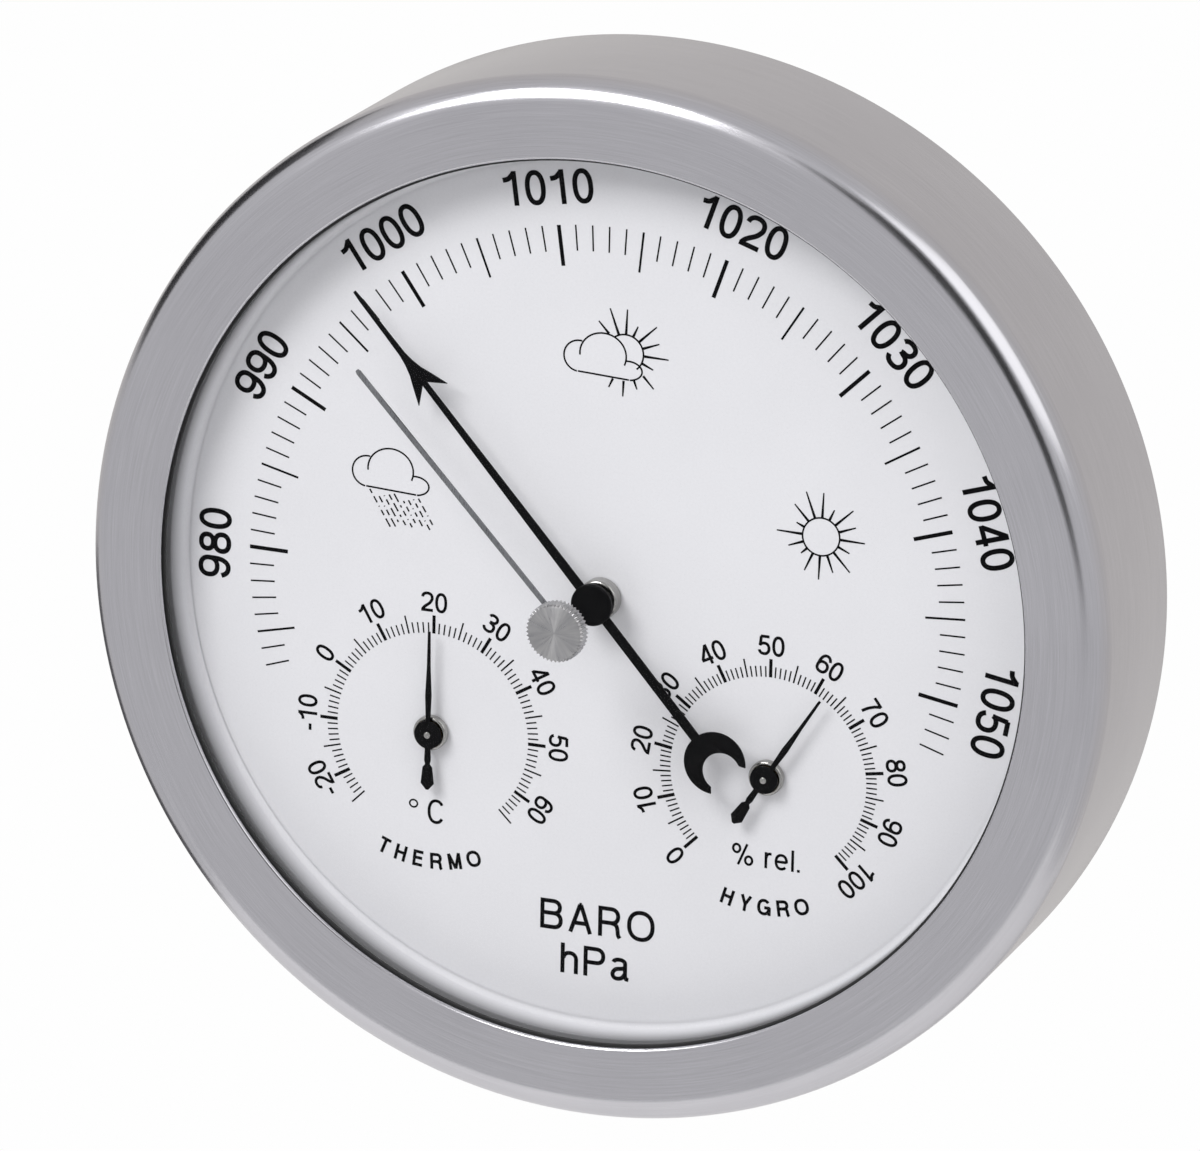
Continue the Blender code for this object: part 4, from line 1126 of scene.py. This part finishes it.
@dataclass
class SmallInstrument:
    """Ferrule, arbor and hand of the thermometer or the hygrometer. Millimetres."""

    kind: str
    x: float
    turn: float
    reach: float
    z: float = SUB_Z
    ferrule: float = 3.35
    neck: float = 2.5
    hub: float = 2.7
    tail: float = 10.8
    pin: float = 0.65

    def build(self) -> None:
        """Make the pieces in front of the dial."""
        body = f"{self.kind}_pointer"
        lo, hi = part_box(f"{self.kind}_ferrule")
        front, back = lo.y / MM, hi.y / MM
        ring = [(self.neck, back, 0), (self.ferrule, back, 0.05), (self.ferrule, front, 0.5),
                (self.ferrule - 0.55, front, 0.1), (self.ferrule - 0.7, front + 0.3, 0.05),
                (self.neck, front + 0.3, 0)]
        nickel = TURNED_NICKEL.about(self.x * MM, self.z * MM)
        place(f"{self.kind}_ring_ferrule", turned(rounded(ring, 5), 96, self.x, self.z), nickel,
              "case", (f"{self.kind}_ferrule",))
        lo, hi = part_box(f"{self.kind}_arbor")
        pin = rounded([(0, lo.y / MM, 0), (self.pin, lo.y / MM, 0.2), (self.pin, hi.y / MM, 0.2),
                       (0, hi.y / MM, 0)], 3)
        place(f"{self.kind}_pin", turned(pin, 48, self.x, self.z), nickel, body,
              (f"{self.kind}_arbor",))
        hand = f"{self.kind}_hand"
        blade = stamped(self.outline(), back_of(hand), front_of(hand), 0.05)
        place(f"{self.kind}_leaf_hand", rotated(blade, self.turn, self.x, self.z),
              BLACK_LACQUER, body, (hand,))

    def outline(self) -> Profile:
        """Draw the leaf blade, round hub and notched tail, pointing up.

        Returns:
            The hand's closed outline.
        """
        blade = [(0.62, 0.38 * self.reach), (0.36, 0.65 * self.reach), (0.25, self.reach)]
        tail = [(0.25, -self.tail), (1.3, -self.tail + 1.2), (0.95, -6.4), (0.45, -5.8),
                (0.65, -5.0)]
        top = math.degrees(math.asin(0.45 / self.hub))
        bottom = math.degrees(math.asin(0.55 / self.hub))
        side = tail + arc(self.hub, -90 + bottom, 90 - top, 28) + blade
        return side + mirrored(side)


# ------------------------------------------------------------------ barometer hands

@dataclass
class BarometerHands:
    """Main pointer with its hub and nut. Millimetres and degrees."""

    turn: float = -41.58
    width: float = 1.85
    length: float = 72.6
    arrow_base: float = 50.0
    arrow_barb: float = 3.7
    tip_half: float = 0.22
    eye: float = 3.6
    moon_centre: float = 37.0
    moon_radius: float = 6.0
    moon_opening: float = 47.0
    bite_radius: float = 3.75
    bite_drop: float = 2.1
    hub: float = 4.0
    nut: float = 3.9
    bush: float = 2.9

    def build(self) -> None:
        """Make the pointer, its hub and the nut behind it."""
        pointer = "main_pointer"
        blade = stamped(self.outline(), back_of(pointer), front_of(pointer), 0.07)
        place("crescent_pointer", rotated(blade, self.turn), BLACK_LACQUER, "pointer",
              (pointer,))
        lo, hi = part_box("pointer_hub")
        front, rear, face = lo.y / MM, hi.y / MM, front_of(pointer)
        cap = rounded([(0, front, 0), (self.hub, front, 0.3), (self.hub, face - 0.02, 0.12),
                       (1.6, face - 0.02, 0), (1.6, rear, 0.1), (0, rear, 0)], 5)
        place("domed_hub", turned(cap, 96), BLACK_LACQUER, "pointer", ("pointer_hub",))
        lo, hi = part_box("centre_nut")
        front, rear = lo.y / MM, hi.y / MM
        nut = rounded([(self.bush, rear, 0), (self.nut, rear, 0.1), (self.nut, front, 0.6),
                       (self.bush, front, 0.15)], 5)
        place("round_nut", turned(nut, 96), TURNED_NICKEL, "case", ("centre_nut",))

    def outline(self) -> Profile:
        """Draw the needle, barbed arrow head, round centre and crescent tail, pointing up.

        Returns:
            The pointer's closed outline.
        """
        half = self.width / 2
        neck = 0.6 * half
        right = [(neck, self.arrow_base + 1.2), (self.arrow_barb, self.arrow_base - 1.4),
                 (2.3, self.arrow_base + 2), (1.4, self.arrow_base + 4),
                 (0.85, self.arrow_base + 6), (neck, self.arrow_base + 8),
                 (0.45, self.arrow_base + 13), (0.38, self.length - 2),
                 (self.tip_half, self.length)]
        join = math.degrees(math.asin(half / self.eye))
        moon = math.degrees(math.asin(half / self.moon_radius))
        outer = arc(self.moon_radius, 90 + moon, 270 - self.moon_opening, 36, 0,
                    -self.moon_centre)
        bite = arc(self.bite_radius, 195, -15, 36, 0, -self.moon_centre - self.bite_drop)
        points = arc(self.eye, -90 + join, 90 - join, 24) + right + mirrored(right)
        points += arc(self.eye, 90 + join, 270 - join, 24)
        return points + outer + bite + mirrored(outer)


@dataclass
class SetHand:
    """Knurled knob in front of the window, and the bent steel hand behind it."""

    turn: float = -47.5
    knob: float = 5.65
    ridges: int = 45
    ridge: float = 0.42
    eye: float = 2.6
    bore: float = 1.1
    strip: float = 0.95
    sheet: float = 0.4
    length: float = 61.0
    tip_rise: float = 11.4

    def build(self) -> None:
        """Make the knob, its shaft and the hand."""
        self.build_knob()
        self.build_shaft()
        self.build_hand()

    def build_knob(self) -> None:
        """Knob with coarse straight knurling and a flat, faced front."""
        lo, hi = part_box("set_knob")
        front, back, r = lo.y / MM, hi.y / MM, self.knob
        profile = [(0, front), (0.5, front), (2.0, front), (3.6, front), (r - 0.75, front),
                   (r - 0.55, front + 0.05), (r - 0.02, front + 0.35), (r, front + 0.6),
                   (r, back - 0.5), (r - 0.1, back - 0.2), (r - 0.6, back), (0, back)]
        bm = turned(profile, self.ridges * 8, ridges=self.ridges, ridge=self.ridge,
                    ridge_from=r - 0.3)
        place("knurled_knob", bm, FACED_ALUMINIUM, "set_pointer", ("set_knob",), 28.0)

    def build_shaft(self) -> None:
        """Shaft through the window, with a riveted head behind the hand."""
        lo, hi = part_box("set_shaft")
        front, back, head = lo.y / MM, hi.y / MM, hi.x / MM
        neck = head / 2
        profile = rounded([(0, front, 0), (neck, front, 0.05), (neck, back - 0.8, 0),
                           (head, back - 0.8, 0.1), (head, back, 0.4), (0, back, 0)], 5)
        place("riveted_shaft", turned(profile, 48), TURNED_NICKEL, "set_pointer",
              ("set_shaft",))

    def build_hand(self) -> None:
        """Round eye and a narrow strip that bends down towards the dial."""
        lo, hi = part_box("set_hand")
        front = lo.y / MM
        back = front + self.sheet
        tip = front_of("dial_plate") - self.tip_rise
        eye = rounded([(self.bore, front, 0.05), (self.eye, front, 0.1), (self.eye, back, 0.1),
                       (self.bore, back, 0.05)], 3)
        bm = turned(eye, 64)
        start, bend, half = 1.8, 2 * self.eye, self.strip / 2
        rows = []
        for z, y in ((start, front), (bend, front), (self.length - 0.6, None),
                     (self.length, None)):
            share = (z - bend) / (self.length - bend)
            depth = y if y is not None else front + (tip - back) * share + self.sheet * share
            wide = half if z < self.length else 0.5 * half
            rows.append([bm.verts.new((dx * MM, dy * MM, z * MM)) for dx, dy in (
                (-wide, depth), (wide, depth), (wide, depth + self.sheet),
                (-wide, depth + self.sheet))])
        for low, high in zip(rows, rows[1:]):
            for k in range(4):
                n = (k + 1) % 4
                bm.faces.new((low[k], low[n], high[n], high[k]))
        bm.faces.new(rows[0])
        bm.faces.new(rows[-1])
        bmesh.ops.recalc_face_normals(bm, faces=bm.faces)
        place("bent_set_hand", rotated(bm, self.turn), DRAWN_STEEL, "set_pointer",
              ("set_hand",), 28.0)


# ------------------------------------------------------------------ back

@dataclass
class Back:
    """Moulded back cover with its hanger and screws. Millimetres."""

    cover_edge: float = 0.35
    hanger_edge: float = 0.12
    recess: float = 0.8
    recess_width: float = 0.55
    recess_depth: float = 0.7

    def build(self) -> None:
        """Soften the cover's and the hanger's edges, and make the screws."""
        self.soften("back_cover", "moulded_cover", BLACK_ABS, self.cover_edge)
        self.soften("hanger_plate", "keyhole_hanger", ZINC_STEEL, self.hanger_edge)
        for number in range(1, 5):
            self.build_screw(number)

    def soften(self, node: str, name: str, finish: Finish, edge: float) -> None:
        """Copy a CAD node with rounded edges.

        Args:
            node: the CAD node.
            name: the new piece's name.
            finish: what it is made of.
            edge: rounding in millimetres.
        """
        bm = bmesh.new()
        bm.from_mesh(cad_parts[node].data)
        bmesh.ops.remove_doubles(bm, verts=bm.verts, dist=1e-7)
        bmesh.ops.dissolve_limit(bm, angle_limit=math.radians(1), verts=bm.verts,
                                 edges=bm.edges)
        rim = [e for e in bm.edges if len(e.link_faces) == 2
               and e.calc_face_angle(0) > math.radians(50)
               and abs(e.verts[0].co.y - e.verts[1].co.y) < 1e-6]
        bmesh.ops.bevel(bm, geom=rim, offset=edge * MM, segments=3, profile=0.5,
                        affect="EDGES", clamp_overlap=True)
        place(name, bm, finish, "case", (node,))

    def build_screw(self, number: int) -> None:
        """Make a domed pan-head screw with a cross recess.

        Args:
            number: which of the four cover screws it is.
        """
        node = f"cover_screw_{number}"
        lo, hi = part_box(node)
        middle = (lo + hi) / 2 / MM
        wide, back, end = (hi.x - lo.x) / 2 / MM, hi.y / MM, lo.y / MM
        seat = back - 1.1
        profile = rounded([(0, back, 0), (wide, back, 0.7), (wide, seat, 0.08),
                           (1.4, seat, 0), (1.4, end, 0.4), (0, end, 0)], 5)
        bm = turned(profile, 64, middle.x, middle.z)
        screw = place(f"pan_screw_{number}", bm, ZINC_STEEL.about(middle.x * MM, 0.0), "case",
                      (node,))
        self.cut_cross(screw, middle.x, middle.z, back)

    def cut_cross(self, screw: bpy.types.Object, x: float, z: float, top: float) -> None:
        """Cut a tapering cross recess into a screw's head.

        Args:
            screw: the screw.
            x: its axis.
            z: its axis.
            top: y of its head's top.
        """
        for long_x in (True, False):
            bm = bmesh.new()
            rows = []
            for y, share in ((top + 0.1, 1.1), (top - self.recess_depth, 0.45)):
                a = self.recess * 1.9 * share
                b = self.recess_width / 2
                a, b = (a, b) if long_x else (b, a)
                rows.append([bm.verts.new(((x + dx) * MM, y * MM, (z + dz) * MM))
                             for dx, dz in ((-a, -b), (a, -b), (a, b), (-a, b))])
            for k in range(4):
                n = (k + 1) % 4
                bm.faces.new((rows[0][k], rows[0][n], rows[1][n], rows[1][k]))
            bm.faces.new(rows[0])
            bm.faces.new(rows[1])
            bmesh.ops.recalc_face_normals(bm, faces=bm.faces)
            mesh = bpy.data.meshes.new("cross_cutter")
            bm.to_mesh(mesh)
            bm.free()
            cutter = bpy.data.objects.new("cross_cutter", mesh)
            bpy.context.scene.collection.objects.link(cutter)
            cut = screw.modifiers.new("cross", "BOOLEAN")
            cut.operation, cut.solver, cut.object = "DIFFERENCE", "EXACT", cutter
            bpy.context.view_layer.update()
            ready = screw.evaluated_get(bpy.context.evaluated_depsgraph_get())
            bare = bpy.data.meshes.new_from_object(ready)
            screw.modifiers.clear()
            screw.data = bare
            bpy.data.objects.remove(cutter)


# ------------------------------------------------------------------ movement behind the dial

def dress(node: str, finish: Finish) -> None:
    """Give a CAD node a finish in place of its plain material.

    Args:
        node: the CAD node.
        finish: what it is made of.
    """
    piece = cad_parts[node]
    piece.data.materials.clear()
    piece.data.materials.append(finish.material())
    LOG.info("%s: dressed in %s", node, finish.name)


@dataclass
class Movement:
    """Pieces behind the dial that keep their CAD shape and get a real finish."""

    def build(self) -> None:
        """Dress every piece of the movement, the seat and the sleeve."""
        plates = {"front_plate", "base_plate", "sector_gear", "rocker_arm", "rocker_finger",
                  "rocker_post_outer", "rocker_post_inner"}
        turned_brass = {"pillar_1", "pillar_2", "pillar_3", "arbor_pinion", "capsule_stud",
                        "adjusting_screw", "set_bush", "hairspring"}
        steel = {"carrier_spring", "rocking_shaft", "sector_pin", "sector_stud",
                 "carrier_screw", "hanger_rivet_1", "hanger_rivet_2"}
        groups = ((plates, ROLLED_BRASS), (turned_brass, TURNED_BRASS), (steel, ZINC_STEEL),
                  ({"capsule_lower", "capsule_upper"}, CAPSULE_BRONZE),
                  ({"centre_bush", "pointer_arbor"}, TURNED_NICKEL),
                  ({"dial_seat", "cover_sleeve"}, BLACK_ABS),
                  ({"thermometer_coil"}, BIMETAL_STRIP), ({"hygrometer_coil"}, FILM_STRIP),
                  ({"thermometer_can"}, TURNED_BRASS.about(-SUB_X * MM, SUB_Z * MM)),
                  ({"hygrometer_can"}, TURNED_BRASS.about(SUB_X * MM, SUB_Z * MM)))
        for nodes, finish in groups:
            for node in sorted(nodes):
                dress(node, finish)


# ------------------------------------------------------------------ studio

@dataclass
class Studio:
    """Plain pale floor, soft light and the camera. Metres and degrees."""

    azimuth: float = 20.207
    elevation: float = 16.822
    roll: float = 1.165
    distance: float = 1.5517
    shift_right: float = -0.0058 * SCALE_REACH
    shift_up: float = 0.0561 * SCALE_REACH
    lens: float = 251.5
    sensor: float = 36.0
    floor: float = -0.32

    def build(self) -> None:
        """Set up everything that isn't part of the object."""
        self.build_floor()
        self.build_lights()
        self.build_camera()
        bpy.context.scene.view_settings.view_transform = "Standard"

    def build_floor(self) -> None:
        """A pale floor under the hanging object."""
        bm = bmesh.new()
        bmesh.ops.create_grid(bm, x_segments=8, y_segments=8, size=0.36)
        mesh = bpy.data.meshes.new("floor")
        bm.to_mesh(mesh)
        bm.free()
        floor = bpy.data.objects.new("floor", mesh)
        floor.location.z = self.floor
        mesh.materials.append(PALE_FLOOR.material())
        bpy.context.scene.collection.objects.link(floor)

    def build_lights(self) -> None:
        """A white room, a soft box at the upper left, a wide weak one at the right, and cards."""
        self.build_room()
        self.box("key_box", (-0.44, -0.8, 0.82), 0.5, 8.6)
        self.box("right_box", (1.05, -0.6, 0.85), 1.0, 3.0)
        self.card("lens_hood", self.toward_camera() * 1.62, 0.75, 0.34, "0A0A0B")
        self.card("left_flag", Vector((-0.92, 0.2, 0.32)), 0.3, 0.34, "202022")
        self.card("low_flag", Vector((-0.6, 0.42, -0.68)), 0.5, 0.42, "5A5A5C")

    def build_room(self) -> None:
        """A white room, a little darker and warmer behind the object."""
        world = bpy.data.worlds.new("soft_room")
        world.use_nodes = True
        tree = world.node_tree
        tree.nodes.clear()
        way = add_node(tree, "ShaderNodeTexCoord").outputs["Generated"]
        depth = add_node(tree, "ShaderNodeSeparateXYZ", None, {0: way}).outputs["Y"]
        behind = add_node(tree, "ShaderNodeMapRange", None, {
            "Value": depth, "From Min": -0.3, "From Max": 0.8}).outputs[0]
        shade = add_node(tree, "ShaderNodeMix", {"data_type": "RGBA"}, {
            "Factor": behind, "A": linear("D2D2D4"), "B": linear("D2CFCD")}).outputs[2]
        seen = add_node(tree, "ShaderNodeLightPath").outputs["Is Camera Ray"]
        colour = add_node(tree, "ShaderNodeMix", {"data_type": "RGBA"}, {
            "Factor": seen, "A": shade, "B": linear("FEFEFE")}).outputs[2]
        room = add_node(tree, "ShaderNodeBackground", None, {"Color": colour})
        add_node(tree, "ShaderNodeOutputWorld", None, {"Surface": room.outputs[0]})
        bpy.context.scene.world = world

    def toward_camera(self) -> Vector:
        """Unit direction from the dial to the camera."""
        a, e = math.radians(self.azimuth), math.radians(self.elevation)
        return Vector((math.sin(a) * math.cos(e), -math.cos(a) * math.cos(e), math.sin(e)))

    def card(self, name: str, spot: Vector, wide: float, tall: float, shade: str) -> None:
        """A flat card that shows only in gloss, square to the line from the origin.

        Args:
            name: its name.
            spot: its centre.
            wide: half its width, in metres.
            tall: half its height.
            shade: its colour.
        """
        bm = bmesh.new()
        bmesh.ops.create_grid(bm, x_segments=2, y_segments=2, size=1.0)
        bmesh.ops.scale(bm, vec=(tall, wide, 1.0), verts=bm.verts)
        mesh = bpy.data.meshes.new(name)
        bm.to_mesh(mesh)
        bm.free()
        mesh.materials.append(Finish(f"{name}_board", shade, shade, 0.8, 0.9).material())
        made = bpy.data.objects.new(name, mesh)
        made.location = spot
        made.rotation_euler = spot.to_track_quat("Z", "Y").to_euler()
        made.visible_camera = made.visible_diffuse = made.visible_shadow = False
        made.visible_transmission = False
        bpy.context.scene.collection.objects.link(made)

    def box(self, name: str, spot: tuple[float, float, float], size: float,
            power: float) -> None:
        """A square soft box that faces the origin.

        Args:
            name: its name.
            spot: its centre.
            size: its width in metres.
            power: in watts.
        """
        lamp = bpy.data.lights.new(name, "AREA")
        lamp.shape, lamp.size, lamp.energy = "SQUARE", size, power
        made = bpy.data.objects.new(name, lamp)
        made.location = spot
        made.rotation_euler = (-Vector(spot)).to_track_quat("-Z", "Y").to_euler()
        bpy.context.scene.collection.objects.link(made)

    def build_camera(self) -> None:
        """Camera to the right of the axis and above it, with a long lens."""
        a, e, roll = (math.radians(v) for v in (self.azimuth, self.elevation, self.roll))
        right = Vector((math.cos(a), math.sin(a), 0))
        up = Vector((-math.sin(a) * math.sin(e), math.cos(a) * math.sin(e), math.cos(e)))
        back = self.toward_camera()
        across = right * math.cos(roll) + up * math.sin(roll)
        over = up * math.cos(roll) - right * math.sin(roll)
        centre = Vector((0, front_of("dial_plate") * MM, 0))
        spot = centre + back * self.distance + across * self.shift_right + over * self.shift_up
        lens = bpy.data.cameras.new("camera")
        lens.lens, lens.sensor_width = self.lens, self.sensor
        camera = bpy.data.objects.new("camera", lens)
        turn = Matrix((across, over, back)).transposed().to_4x4()
        camera.matrix_world = Matrix.Translation(spot) @ turn
        bpy.context.scene.collection.objects.link(camera)
        bpy.context.scene.camera = camera


def main() -> None:
    """Build the object from the case inwards, then the studio."""
    logging.basicConfig(level=logging.INFO, format="%(name)s %(message)s")
    for part in (Case(), Dial(),
                 SmallInstrument("thermometer", -SUB_X, 0.0, 20.2),
                 SmallInstrument("hygrometer", SUB_X, 32.4, 19.6),
                 BarometerHands(), SetHand(), Back(), Movement(), Studio()):
        LOG.info("building %s", type(part).__name__)
        part.build()


if __name__ == "__main__":
    main()
